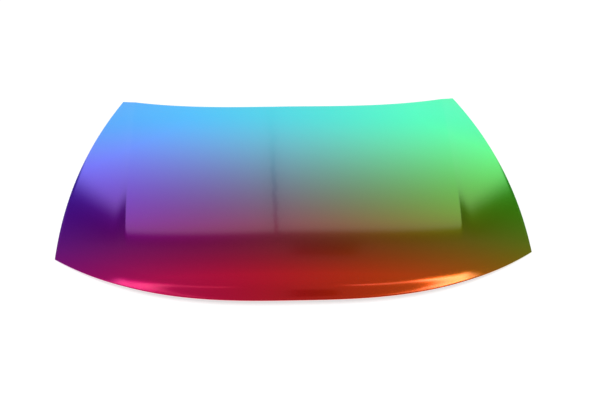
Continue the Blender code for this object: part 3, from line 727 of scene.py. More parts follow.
def fold_rim(bm: Shape, steps: Iterable[tuple[float, float]]) -> None:
    """Folds the rim of a sheet.

    Args:
        bm: The sheet.
        steps: For each new ring, its distance outwards and below the sheet's old rim.
    """
    ring = [edge for edge in bm.edges if edge.is_boundary]
    verts = {vert for edge in ring for vert in edge.verts}
    folding = {tuple(v.co): (v.co.copy(), *rim_directions(v)) for v in verts}
    for out_by, down_by in steps:
        made = bmesh.ops.extrude_edge_only(bm, edges=ring)["geom"]
        edges = [part for part in made if isinstance(part, bmesh.types.BMEdge)]
        ring = [edge for edge in edges if edge.is_boundary]
        moved = {}
        for vert in {vert for edge in ring for vert in edge.verts}:
            start, outward, downward = folding[tuple(vert.co)]
            vert.co = start + outward * out_by + downward * down_by
            moved[tuple(vert.co)] = (start, outward, downward)
        folding = moved


@dataclass(frozen=True)
class Seat:
    """A flat place on the frame that other pieces sit on, with its slope and heading."""

    top: Vector
    up: Vector
    across: Vector
    sheet: float

    def snap(self, point: Vector) -> Vector:
        """The point moved up or down onto the seat's upper face."""
        off = (self.top - point).dot(self.up) / self.up.z
        return Vector((point.x, point.y, point.z + off))

    def above(self, height: float = 0.0, along: tuple[float, float] = (0.0, 0.0)) -> Matrix:
        """A place over the frame's upper face.

        Args:
            height: How far over the face it is.
            along: How far it is moved along the seat's heading, and forwards.

        Returns:
            The place, with Z off the seat and X along its heading.
        """
        forward = self.up.cross(self.across)
        at = self.top + self.up * height + self.across * along[0] + forward * along[1]
        turn = Matrix((self.across, forward, self.up)).transposed()
        return Matrix.Translation(at) @ turn.to_4x4()

    def below(self, gap: float = 0.0, along: tuple[float, float] = (0.0, 0.0)) -> Matrix:
        """A place under the frame's sheet, with Z pointing down off the seat."""
        return self.above(-self.sheet - gap, along) @ Matrix.Rotation(math.pi, 4, "X")


@dataclass(frozen=True)
class FrameForm:
    """Where the inner frame's rails and ribs run, and how deep they lie under the skin."""

    form: BonnetForm
    sheet: float = 0.0007
    gap: float = 0.0003
    sag: float = 0.0004
    skin: float = 0.0008
    hem_depth: float = 0.0015
    hem_flange: float = 0.015
    flange_inset: float = 0.002
    flange_depth: float = 0.004
    flange_width: float = 0.016
    wall: float = 0.012
    rib_depth: float = 0.013
    rear_depth: float = 0.015
    side_depth: float = 0.014
    front_depth: float = 0.019
    lowest: float = 0.0045
    easing: float = 0.06
    rear_rail: tuple[float, float] = (0.026, 0.086)
    front_rail: tuple[float, float] = (0.050, 0.112)
    side_rail: tuple[float, float] = (0.028, 0.072)
    inner_rib: tuple[float, float] = (0.175, 0.085)
    outer_rib: tuple[float, float] = (0.425, 0.320)
    rib_half_bottom: float = 0.018
    crease_room: float = 0.003
    hinge_x: float = 0.499
    hinge_reach: float = 0.056
    stop_x: float = 0.434
    stop_reach: float = 0.072
    latch_reach: float = 0.062
    bush_v: float = 0.55

    def rib_line(self, rib: tuple[float, float], aside: float) -> Column:
        """A column that runs aside of a rib's middle line."""
        return lambda v: mix(*rib, v) + aside

    def side_line(self, distance: float) -> Column:
        """A column at a distance in from the right edge, squeezed where the crease is close."""
        form, start = self.form, self.side_rail[0]
        deepest = self.side_rail[1] + self.wall + self.flange_width

        def column(v: float) -> float:
            """The column's x at v."""
            if distance <= start:
                return form.half_width(v) - distance
            room = form.half_width(v) - form.crease_x(v) - self.crease_room
            share = (distance - start) / (deepest - start)
            return form.half_width(v) - mix(start, min(deepest, room), share)

        return column

    def channel_depth(self, x: float, v: float) -> float:
        """Depth of the channels' bottoms, which changes gently from the ribs to the rails."""
        form = self.form
        from_side = form.half_width(v) - abs(x)
        beside = self.wall + self.flange_width
        beyond = self.wall + self.easing
        side = ease((self.side_rail[1] + beside - from_side) / beside)
        front = ease((self.front_rail[1] + beyond - form.from_nose(x, v)) / self.easing)
        rear = ease((self.rear_rail[1] + beyond - form.from_rear(x, v)) / self.easing)
        depth = mix(self.rib_depth, self.side_depth, side)
        depth = mix(depth, self.front_depth, front)
        depth = mix(depth, self.rear_depth, rear)
        clear = form.height(x, v) - self.sheet - self.lowest
        return max(self.hem_depth, min(depth, clear))

    def seat(self, x: float, v: float, depth: float | None = None, heading: Vector | None = None) -> Seat:
        """A seat on the bottom of a channel.

        Args:
            x: Where it is.
            v: Where it is.
            depth: Depth under the skin, or None for the channel's own.
            heading: The way that its X points, or None for straight across.

        Returns:
            The seat.
        """
        up = self.form.normal(x, v)
        top = self.form.under(x, v, self.channel_depth(x, v) if depth is None else depth)
        heading = heading or Vector((1, 0, 0))
        across = (heading - up * heading.dot(up)).normalized()
        return Seat(top, up, across, self.sheet)

    def hinge_seat(self, side: Side) -> Seat:
        """The seat of a hinge, which runs along the rear edge."""
        x = side.value * self.hinge_x
        slope = self.form.rear_slope(self.form.share_across(x, 0.0))
        v = self.form.v_from_rear(x, sum(self.rear_rail) / 2)
        return self.seat(x, v, self.rear_depth, Vector((1, side.value * slope, 0)))

    def latch_seat(self) -> Seat:
        """The seat of the striker, in the middle of the front rail."""
        return self.seat(0.0, self.form.v_from_nose(0.0, sum(self.front_rail) / 2), self.front_depth)

    def stop_seat(self, side: Side) -> Seat:
        """The seat of a rubber stop, at an end of the front rail."""
        x = side.value * self.stop_x
        return self.seat(x, self.form.v_from_nose(x, sum(self.front_rail) / 2), self.front_depth)

    def side_seat(self, side: Side, v: float) -> Seat:
        """A seat in the middle of a side rail, which runs along the rail."""
        form = self.form
        widening = form.half_width(v + form.step) - form.half_width(v - form.step)
        heading = Vector((-side.value * widening, 2 * form.step * form.length_at(1), 0))
        x = side.value * (form.half_width(v) - sum(self.side_rail) / 2)
        return self.seat(x, v, heading=heading)

    def bush_seat(self) -> Seat:
        """The seat of the prop rod's bush, on the right outer rib."""
        return self.seat(mix(*self.outer_rib, self.bush_v), self.bush_v)


@dataclass(frozen=True)
class Station:
    """A main line of the frame's grid and how many finer lines follow it.

    A low of one lies on the bottom of a channel, a hem of one lies in the folded edge.
    """

    line: Column | Row
    low: float
    hem: float
    steps: int = 1


def mirrored(column: Column) -> Column:
    """The same column on the left side."""
    return lambda v: -column(v)


def part_way(first: Column | Row, second: Column | Row, share: float) -> Column | Row:
    """The line at a share of the way between two columns or two rows."""
    if callable(first):
        return lambda v: mix(first(v), second(v), share)
    return mix(first[0], second[0], share), mix(first[1], second[1], share)


def refine(stations: Sequence[Station]) -> list[Station]:
    """Adds the finer lines between stations, with levels that change in a gentle S."""
    lines = []
    for near, far in zip(stations, stations[1:]):
        for k in range(near.steps):
            share = k / near.steps
            line = part_way(near.line, far.line, share)
            level = ease(share)
            lines.append(Station(line, mix(near.low, far.low, level), mix(near.hem, far.hem, level)))
    return [*lines, stations[-1]]


def turned(profile: Profile, place: Matrix, steps: int = 48) -> Shape:
    """A turned shape.

    Args:
        profile: Its radius and height, all round one half of its section. A profile that
            starts and ends on the axis makes a full body, and any other closes into a ring.
        place: Where it goes, with its axis along Z.
        steps: Segments round the axis.

    Returns:
        The shape.
    """
    bm = bmesh.new()
    verts = [bm.verts.new((radius, 0.0, height)) for radius, height in profile]
    pairs = list(zip(verts, verts[1:]))
    if profile[0][0] > 0 or profile[-1][0] > 0:
        pairs.append((verts[-1], verts[0]))
    edges = [bm.edges.new(pair) for pair in pairs]
    bmesh.ops.spin(
        bm, geom=[*verts, *edges], cent=(0, 0, 0), axis=(0, 0, 1), dvec=(0, 0, 0),
        angle=2 * math.pi, steps=steps, use_merge=True,
    )
    bmesh.ops.remove_doubles(bm, verts=bm.verts[:], dist=0.000002)
    bmesh.ops.recalc_face_normals(bm, faces=bm.faces[:])
    bmesh.ops.transform(bm, matrix=place, verts=bm.verts[:])
    return bm


def six_sided(profile: Profile, apothem: float, place: Matrix) -> Shape:
    """A turned shape with six flats cut on it, such as a nut with its chamfers.

    Args:
        profile: The section, as for turned.
        apothem: Distance of the flats from the axis.
        place: Where it goes.

    Returns:
        The shape.
    """
    bm = turned(profile, Matrix(), 72)
    for k in range(6):
        angle = math.pi * k / 3
        normal = Vector((math.cos(angle), math.sin(angle), 0))
        geom = [*bm.verts, *bm.edges, *bm.faces]
        cut = bmesh.ops.bisect_plane(
            bm, geom=geom, plane_co=normal * apothem, plane_no=normal, clear_outer=True, dist=0.000001,
        )["geom_cut"]
        bmesh.ops.edgeloop_fill(bm, edges=[part for part in cut if isinstance(part, bmesh.types.BMEdge)])
    bmesh.ops.recalc_face_normals(bm, faces=bm.faces[:])
    bmesh.ops.transform(bm, matrix=place, verts=bm.verts[:])
    return bm


def join(*shapes: Shape) -> Shape:
    """Moves several shapes into the first one."""
    whole, *others = shapes
    for other in others:
        mesh = bpy.data.meshes.new("joining")
        other.to_mesh(mesh)
        other.free()
        whole.from_mesh(mesh)
        bpy.data.meshes.remove(mesh)
    return whole


def drill(obj: bpy.types.Object, tool: Shape) -> None:
    """Cuts a shape out of an object and bakes its modifiers.

    Args:
        obj: The object that is cut.
        tool: The shape, which is freed.
    """
    mesh = bpy.data.meshes.new("tool")
    tool.to_mesh(mesh)
    tool.free()
    helper = bpy.data.objects.new("tool", mesh)
    bpy.context.scene.collection.objects.link(helper)
    cut = obj.modifiers.new("holes", "BOOLEAN")
    cut.operation = "DIFFERENCE"
    cut.solver = "EXACT"
    cut.object = helper
    bake(obj)
    bpy.data.objects.remove(helper)
    bpy.data.meshes.remove(mesh)


def cylinder(radius: float, low: float, high: float, place: Matrix, sides: int = 48) -> Shape:
    """A closed cylinder from low to high along the place's Z."""
    bm = bmesh.new()
    move = place @ Matrix.Translation((0, 0, (low + high) / 2))
    bmesh.ops.create_cone(
        bm, cap_ends=True, segments=sides, radius1=radius, radius2=radius, depth=high - low, matrix=move,
    )
    return bm


def upright_edges(bm: Shape) -> list[bmesh.types.BMEdge]:
    """The edges of a shape that run straight up."""
    return [e for e in bm.edges if (e.verts[0].co - e.verts[1].co).xy.length < 1e-6]


def round_edges(bm: Shape, edges: list[bmesh.types.BMEdge], radius: float, segments: int) -> None:
    """Rounds edges of a shape.

    Args:
        bm: The shape.
        edges: Its edges that are rounded.
        radius: The radius that they get.
        segments: How many faces make up each of them.
    """
    bmesh.ops.bevel(
        bm, geom=edges, offset=radius, offset_type="OFFSET", affect="EDGES",
        segments=segments, profile=0.5, material=-1,
    )


def rounded_box(size: Sequence[float], corner: float, edge: float, place: Matrix) -> Shape:
    """A plate or pad that lies from z = 0 up, with rounded corners and softened edges.

    Args:
        size: Its length, width and height.
        corner: Radius of its upright edges.
        edge: Radius of the edges round its two faces.
        place: Where it goes.

    Returns:
        The shape.
    """
    bm = bmesh.new()
    box = Matrix.Translation((0, 0, size[2] / 2)) @ Matrix.Diagonal((*size, 1.0))
    bmesh.ops.create_cube(bm, size=1.0, matrix=box)
    round_edges(bm, upright_edges(bm), corner, 8)
    rims = [e for e in bm.edges if abs(e.verts[0].co.z - e.verts[1].co.z) < 1e-6]
    round_edges(bm, rims, edge, 3)
    bmesh.ops.transform(bm, matrix=place, verts=bm.verts[:])
    return bm


def sweep(
    path: Sequence[Vector],
    section: Callable[[int], tuple[float, float]],
    up: Sequence[Vector],
    sides: int = 12,
    closed: bool = False,
) -> Shape:
    """A round or oval bar along a path.

    Args:
        path: The points of its middle line.
        section: Gives the half width and half height at a point's number.
        up: The way that the section's height points, for each point.
        sides: Segments round the bar.
        closed: Whether the path runs back to its start. If not, the ends are closed.

    Returns:
        The shape.
    """
    bm = bmesh.new()
    ring = bmesh.ops.create_circle(bm, cap_ends=False, segments=sides, radius=1.0)["verts"]
    round_shape = [vert.co.copy() for vert in ring]
    edges = bm.edges[:]
    first_edges = edges
    last = len(path) - 1
    for k, point in enumerate(path):
        before = path[k - 1] if k > 0 or closed else point
        after = path[(k + 1) % len(path)] if k < last or closed else point
        ahead = (after - before).normalized()
        aside = ahead.cross(up[k]).normalized()
        height = aside.cross(ahead)
        half_width, half_height = section(k)
        if k > 0:
            made = bmesh.ops.extrude_edge_only(bm, edges=edges)["geom"]
            ring = [part for part in made if isinstance(part, bmesh.types.BMVert)]
            edges = [e for e in made if isinstance(e, bmesh.types.BMEdge) and e.is_boundary]
        for vert, flat in zip(ring, round_shape):
            vert.co = point + aside * (flat.x * half_width) + height * (flat.y * half_height)
    if closed:
        bmesh.ops.bridge_loops(bm, edges=[*first_edges, *edges])
    else:
        bmesh.ops.holes_fill(bm, edges=[e for e in bm.edges if e.is_boundary], sides=0)
    bmesh.ops.recalc_face_normals(bm, faces=bm.faces[:])
    return bm


@dataclass
class InnerFrame:
    """The pressed inner panel: a rail all round and four ribs, with windows and holes."""

    lines: FrameForm
    window_radius: float = 0.026
    rib_hole_radius: float = 0.009
    rib_holes_v: Sequence[float] = (0.28, 0.42, 0.68)
    rail_hole_radius: float = 0.011
    rear_holes_x: Sequence[float] = (0.085, 0.275, 0.345)
    front_holes_x: Sequence[float] = (0.205, 0.310, 0.520)
    side_hole_radius: float = 0.007
    side_holes_v: Sequence[float] = (0.30, 0.70)
    hinge_hole_radius: float = 0.0055
    hinge_bolt_spacing: float = 0.034
    striker_hole_radius: float = 0.0046
    striker_bolt_spacing: float = 0.052
    stop_stem_radius: float = 0.0054
    pad_stem_radius: float = 0.0039
    bush_radius: float = 0.0084
    rim_width: float = 0.006
    rim_height: float = 0.0016
    seat_apron: float = 0.016
    seat_edge: float = 0.014
    window_level: float = 0.06
    window_reach: float = 0.08

    def columns(self) -> list[Station]:
        """The grid's lines from rear to nose, left to right."""
        lines, form = self.lines, self.lines.form
        foot = lines.rib_half_bottom
        top = foot + lines.wall
        right = [Station(lambda v: 0.0, 0.0, 0.0, 6)]
        for rib, beyond in ((lines.inner_rib, 9), (lines.outer_rib, 4)):
            right += [
                Station(lines.rib_line(rib, -top), 0.0, 0.0, 8),
                Station(lines.rib_line(rib, -foot), 1.0, 0.0, 4),
                Station(lines.rib_line(rib, foot), 1.0, 0.0, 8),
                Station(lines.rib_line(rib, top), 0.0, 0.0, beyond),
            ]
        start, end = lines.side_rail
        right += [
            Station(form.crease_x, 0.0, 0.0, 4),
            Station(lines.side_line(end + lines.wall), 0.0, 0.0, 8),
            Station(lines.side_line(end), 1.0, 0.0, 5),
            Station(lines.side_line(start), 1.0, 0.0, 8),
            Station(lines.side_line(lines.hem_flange), 0.0, 1.0, 2),
            Station(lines.side_line(lines.flange_inset), 0.0, 1.0),
        ]
        fine = refine(right)
        left = [Station(mirrored(line.line), line.low, line.hem) for line in reversed(fine[1:])]
        return left + fine

    def rows(self) -> list[Station]:
        """The grid's lines from side to side, rear to nose."""
        lines = self.lines
        rear_start, rear_end = lines.rear_rail
        front_start, front_end = lines.front_rail
        return refine([
            Station((0.0, lines.flange_inset), 0.0, 1.0, 2),
            Station((0.0, lines.hem_flange), 0.0, 1.0, 8),
            Station((0.0, rear_start), 1.0, 0.0, 6),
            Station((0.0, rear_end), 1.0, 0.0, 8),
            Station((0.0, rear_end + lines.wall), 0.0, 0.0, 56),
            Station((1.0, -front_end - lines.wall), 0.0, 0.0, 8),
            Station((1.0, -front_end), 1.0, 0.0, 6),
            Station((1.0, -front_start), 1.0, 0.0, 14),
            Station((1.0, -lines.hem_flange), 0.0, 1.0, 2),
            Station((1.0, -lines.flange_inset), 0.0, 1.0),
        ])

    def flats(self) -> list[tuple[bool, Seat, float, float]]:
        """The flat seats: whether at the nose, the seat, its middle x and half its length."""
        lines = self.lines
        flats = [(True, lines.latch_seat(), 0.0, lines.latch_reach)]
        for side in Side:
            flats.append((False, lines.hinge_seat(side), side.value * lines.hinge_x, lines.hinge_reach))
            flats.append((True, lines.stop_seat(side), side.value * lines.stop_x, lines.stop_reach))
        return flats

    def build(self) -> bpy.types.Object:
        """Presses the sheet, cuts its windows and holes, and adds the rims of the holes."""
        lines, form = self.lines, self.lines.form
        columns, rows, flats = self.columns(), self.rows(), self.flats()

        def bottom(x: float, v: float) -> Vector:
            """The point of a channel's bottom, which is flat at the seats."""
            point = form.under(x, v, lines.channel_depth(x, v))
            for at_nose, seat, middle, reach in flats:
                rail = lines.front_rail if at_nose else lines.rear_rail
                from_edge = form.from_nose(x, v) if at_nose else form.from_rear(x, v)
                near = ease((rail[1] + 2 * lines.wall - from_edge) / lines.wall)
                inside = near * ease((reach + self.seat_apron - abs(x - middle)) / self.seat_edge)
                if inside > 0:
                    point = point.lerp(seat.snap(point), inside)
            return point

        def place(i: int, j: int) -> Vector:
            """The point of the sheet where a column crosses a row."""
            column, row = columns[i], rows[j]
            x, v = form.cross(column.line, row.line)
            low = 1 - (1 - column.low) * (1 - row.low)
            hem = 1 - (1 - column.hem) * (1 - row.hem)
            point = form.under(x, v, lines.flange_depth)
            if low > 0:
                point = point.lerp(bottom(x, v), low)
            return point.lerp(form.under(x, v, lines.hem_depth), hem)

        bm = grid_sheet(len(columns), len(rows), place)
        frame_piece = smooth_object(bm, "pressed_frame", FRAME_PRIMER)
        thicken(frame_piece, lines.sheet)
        round_holes = self.round_holes()
        tools = [*self.windows(), *(cylinder(r, -0.004, 0.004, s.above()) for s, r in round_holes)]
        tools += [cylinder(r, -0.004, 0.004, place) for place, r in self.fixing_holes()]
        drill(frame_piece, join(*tools))
        finished = bmesh.new()
        finished.from_mesh(frame_piece.data)
        rims = [self.rim(seat, radius) for seat, radius in round_holes]
        join(finished, *rims)
        finished.to_mesh(frame_piece.data)
        finished.free()
        frame_piece.data.shade_smooth()
        frame_piece.data.set_sharp_from_angle(angle=math.radians(40))
        stand_for(frame_piece, FRAME_PRIMER, "inner_frame")
        return frame_piece

    def windows(self) -> list[Shape]:
        """The prisms that cut the windows between the ribs and the rails."""
        lines = self.lines
        edge = lines.rib_half_bottom + lines.wall + lines.flange_width
        far = lines.side_rail[1] + lines.wall + lines.flange_width
        middle = lines.rib_line(lines.inner_rib, -edge)
        spans = [(mirrored(middle), middle)]
        for near, beyond in (
            (lines.rib_line(lines.inner_rib, edge), lines.rib_line(lines.outer_rib, -edge)),
            (lines.rib_line(lines.outer_rib, edge), lines.side_line(far)),
        ):
            spans += [(near, beyond), (mirrored(beyond), mirrored(near))]
        return [self.window(left, right) for left, right in spans]

    def window(self, left: Column, right: Column) -> Shape:
        """A prism with rounded corners between two columns."""
        lines, form = self.lines, self.lines.form
        rows = {
            1: (0.0, lines.rear_rail[1] + lines.wall + lines.flange_width),
            -1: (1.0, -lines.front_rail[1] - lines.wall - lines.flange_width),
        }
        bm = bmesh.new()
        for vert in bmesh.ops.create_cube(bm, size=2.0)["verts"]:
            column = left if vert.co.x < 0 else right
            corner = form.point(*form.cross(column, rows[round(vert.co.y)]))
            vert.co = (corner.x, corner.y, self.window_level + self.window_reach * vert.co.z)
        round_edges(bm, upright_edges(bm), self.window_radius, 14)
        return bm

    def round_holes(self) -> list[tuple[Seat, float]]:
        """The seat and radius of each hole that only lightens or drains the frame."""
        lines, form = self.lines, self.lines.form
        rear = sum(lines.rear_rail) / 2
        front = sum(lines.front_rail) / 2
        in_rails = [lines.seat(0.0, form.v_from_rear(0.0, rear))]
        in_ribs = []
        in_sides = []
        for side in Side:
            for rib in (lines.inner_rib, lines.outer_rib):
                in_ribs += [lines.seat(side.value * mix(*rib, v), v) for v in self.rib_holes_v]
            in_sides += [lines.side_seat(side, v) for v in self.side_holes_v]
            for x in self.rear_holes_x:
                in_rails.append(lines.seat(side.value * x, form.v_from_rear(x, rear)))
            for x in self.front_holes_x:
                in_rails.append(lines.seat(side.value * x, form.v_from_nose(x, front)))
        holes = [(seat, self.rail_hole_radius) for seat in in_rails]
        holes += [(seat, self.rib_hole_radius) for seat in in_ribs]
        return holes + [(seat, self.side_hole_radius) for seat in in_sides]

    def fixing_holes(self) -> list[tuple[Matrix, float]]:
        """The place and radius of each hole that a bolt or a stem goes through."""
        lines = self.lines
        holes = [(lines.bush_seat().above(), self.bush_radius)]
        for side in Side:
            holes.append((lines.stop_seat(side).above(), self.stop_stem_radius))
            holes.append((lines.side_seat(side, 0.5).above(), self.pad_stem_radius))
            for end in (-0.5, 0.5):
                along = (0.0, end * self.hinge_bolt_spacing)
                holes.append((lines.hinge_seat(side).above(along=along), self.hinge_hole_radius))
            along = (side.value * self.striker_bolt_spacing / 2, 0.0)
            holes.append((lines.latch_seat().above(along=along), self.striker_hole_radius))
        return holes

    def rim(self, seat: Seat, radius: float) -> Shape:
        """The raised rim that the press leaves round a hole, on the underside."""
        width, height = self.rim_width, self.rim_height
        profile = [
            (radius, -0.0004),
            (radius, height * 0.85),
            (radius + width * 0.07, height),
            (radius + width * 0.20, height * 0.92),
            (radius + width * 0.45, height * 0.55),
            (radius + width * 0.75, height * 0.12),
            (radius + width, -0.0002),
            (radius + width, -0.0004),
        ]
        return turned(profile, seat.below())


@dataclass
class HingeFixings:
    """For each hinge, a plate inside the rear rail and two weld nuts on it."""

    lines: FrameForm
    plate: Sequence[float] = (0.076, 0.054, 0.0018)
    hole_radius: float = 0.0055
    bolt_spacing: float = 0.034

    def build(self) -> None:
        """Builds the plates and the nuts of both sides."""
        half = self.bolt_spacing / 2
        for side in Side:
            seat = self.lines.hinge_seat(side)
            holes = [seat.above(along=(0.0, end)) for end in (-half, half)]
            backing_plate(f"hinge_backing_{side.word}", f"hinge_plate_{side.word}", self.plate,
                          seat.above(self.lines.gap), holes, self.hole_radius, FRAME_PRIMER)
            height = self.plate[2] + 2 * self.lines.gap
            for end, where in ((-half, "front"), (half, "rear")):
                WeldNut().build(f"hinge_nut_{side.word}_{where}", seat.above(height, (0.0, end)))


def backing_plate(
    name: str,
    node: str,
    size: Sequence[float],
    place: Matrix,
    holes: Iterable[Matrix],
    hole_radius: float,
    finish: Finish,
) -> bpy.types.Object:
    """A flat plate with rounded corners and bolt holes.

    Args:
        name: The object's name.
        node: The solid that it stands for.
        size: Length, width and thickness.
        place: Where its lower face lies.
        holes: The places of the holes.
        hole_radius: Their radius.
        finish: Its finish.

    Returns:
        The plate.
    """
    plate = smooth_object(rounded_box(size, 0.007, size[2] * 0.22, place), name, finish)
    drill(plate, join(*[cylinder(hole_radius, -0.01, 0.01, at) for at in holes]))
    stand_for(plate, finish, node)
    return plate


@dataclass(frozen=True)
class WeldNut:
    """An M8 hexagon weld nut with a round flange and a threaded bore."""

    apothem: float = 0.0065
    height: float = 0.0065
    flange_radius: float = 0.0085
    flange_height: float = 0.0014
    bore_radius: float = 0.004
    thread_pitch: float = 0.00125
    thread_depth: float = 0.0005

    def build(self, node: str, place: Matrix) -> bpy.types.Object:
        """Builds the nut.

        Args:
            node: The solid that it stands for.
            place: Where its flange lies.

        Returns:
            The nut.
        """
        corner = self.apothem / math.cos(math.pi / 6)
        bore, deep = self.bore_radius, self.bore_radius + self.thread_depth
        bottom, top = 0.0, self.height
        turns = int((top - bottom - 0.0012) / self.thread_pitch)
        thread = []
        for k in range(turns):
            at = bottom + 0.0006 + k * self.thread_pitch
            thread += [(bore, at), (deep, at + self.thread_pitch / 2)]
        outside = [
            (deep, top), (corner * 0.90, top), (corner * 0.97, top - 0.0003), (corner, top - 0.0008),
            (corner, bottom + 0.0002),
        ]
        profile = [(deep, bottom + 0.0002), *thread, (bore, top - 0.0006), *outside]
        body = six_sided(profile, self.apothem, place)
        edge, high = self.flange_radius, self.flange_height
        flange = turned([
            (deep, 0.0), (edge - 0.0002, 0.0), (edge, 0.0002), (edge, high * 0.7),
            (edge - 0.0004, high), (deep, high),
        ], place)
        nut = smooth_object(join(body, flange), node.replace("nut", "weld_nut"), ZINC_PLATE)
        stand_for(nut, ZINC_PLATE, node)
        return nut


@dataclass(frozen=True)
class FlangedBolt:
    """An M8 bolt with a washer face, a chamfered hexagon head and a threaded shank."""

    apothem: float = 0.0065
    head_height: float = 0.0055
    washer_radius: float = 0.009
    washer_height: float = 0.0016
    shank_radius: float = 0.0037
    thread_pitch: float = 0.00125
    thread_depth: float = 0.00045

    def build(self, node: str, place: Matrix, shank_length: float) -> bpy.types.Object:
        """Builds the bolt.

        Args:
            node: The solid that it stands for.
            place: Where its washer face lies, with Z off the seat.
            shank_length: How far the shank reaches into the seat.

        Returns:
            The bolt.
        """
        corner = self.apothem / math.cos(math.pi / 6)
        top, base = self.head_height, self.washer_height * 0.5
        head = six_sided([
            (0.0, base), (corner, base), (corner, top - 0.0009), (corner * 0.97, top - 0.0004),
            (corner * 0.88, top), (self.apothem * 0.62, top), (self.apothem * 0.5, top - 0.0006),
            (0.0, top - 0.0007),
        ], self.apothem, place)
        edge, high = self.washer_radius, self.washer_height
        washer = [(0.0, 0.0), (edge - 0.0003, 0.0), (edge, 0.0003), (edge, high * 0.55),
                  (edge - 0.0006, high * 0.85), (self.apothem * 1.05, high), (0.0, high)]
        radius, root = self.shank_radius, self.shank_radius - self.thread_depth
        shank = [(0.0, 0.0002), (radius, 0.0002), (radius, -0.002)]
        turns = int((shank_length - 0.0035) / self.thread_pitch)
        for k in range(turns):
            at = -0.0022 - k * self.thread_pitch
            shank += [(root, at - self.thread_pitch * 0.45), (radius, at - self.thread_pitch * 0.95)]
        shank += [(root, -shank_length + 0.0003), (root * 0.8, -shank_length), (0.0, -shank_length)]
        whole = join(head, turned(washer, place), turned(shank, place, 32))
        bolt = smooth_object(whole, node.replace("bolt", "flanged_bolt"), ZINC_PLATE)
        stand_for(bolt, ZINC_PLATE, node)
        return bolt


@dataclass
class Striker:
    """The striker's plate and bent wire, its bolts, and the plate and nuts inside the rail."""

    lines: FrameForm
    backing: Sequence[float] = (0.112, 0.050, 0.0015)
    base: Sequence[float] = (0.074, 0.046, 0.003)
    bolt_spacing: float = 0.052
    hole_radius: float = 0.0046
    wire_radius: float = 0.004
    half_span: float = 0.015
    drop: float = 0.032

    def build(self) -> None:
        """Builds all of its pieces."""
        lines, seat = self.lines, self.lines.latch_seat()
        half = self.bolt_spacing / 2
        holes = [seat.above(along=(x, 0.0)) for x in (-half, half)]
        backing_plate("latch_backing", "latch_plate", self.backing, seat.above(lines.gap),
                      holes, self.hole_radius, FRAME_PRIMER)
        backing_plate("striker_base", "striker_plate", self.base, seat.below(lines.gap),
                      holes, self.hole_radius, ZINC_PLATE)
        above = self.backing[2] + 2 * lines.gap
        below = self.base[2] + 2 * lines.gap
        shank = below + lines.sheet + above + WeldNut().height
        for side in Side:
            along = (side.value * half, 0.0)
            WeldNut().build(f"latch_nut_{side.word}", seat.above(above, along))
            FlangedBolt().build(f"striker_bolt_{side.word}", seat.below(below, along), shank)
        self.loop(seat.below(below))

    def loop(self, place: Matrix) -> bpy.types.Object:
        """Bends the wire: down, round a half circle and up again, with a weld at each foot."""
        span, radius = self.half_span, self.wire_radius
        straight = self.drop - radius - span
        path = [Vector((0.0, span, z)) for z in spread(0.0, straight, 6)[:-1]]
        path += [
            Vector((0.0, span * math.cos(a), straight + span * math.sin(a)))
            for a in spread(0.0, math.pi, 32)
        ]
        path += [Vector((0.0, -span, z)) for z in spread(straight, 0.0, 6)[1:]]
        wire = sweep(path, lambda k: (radius, radius), [Vector((1, 0, 0))] * len(path), 28)
        bmesh.ops.transform(wire, matrix=place, verts=wire.verts[:])
        welds = [self.weld(place @ Matrix.Translation((0, y, 0))) for y in (-span, span)]
        loop = smooth_object(join(wire, *welds), "striker_wire", ZINC_PLATE)
        stand_for(loop, ZINC_PLATE, "striker_loop")
        return loop

    def weld(self, place: Matrix) -> Shape:
        """The weld seam round a foot of the wire, a little uneven."""
        radius = self.wire_radius
        bm = turned([
            (radius - 0.0006, 0.0), (radius + 0.0020, 0.0), (radius + 0.0017, 0.0006),
            (radius + 0.0009, 0.0012), (radius + 0.0002, 0.0021), (radius - 0.0006, 0.0022),
        ], Matrix(), 40)
        for vert in bm.verts:
            angle = math.atan2(vert.co.y, vert.co.x)
            vert.co.z *= 1 + 0.14 * math.sin(9 * angle) + 0.08 * math.sin(14 * angle + 1)
        bmesh.ops.transform(bm, matrix=place, verts=bm.verts[:])
        return bm


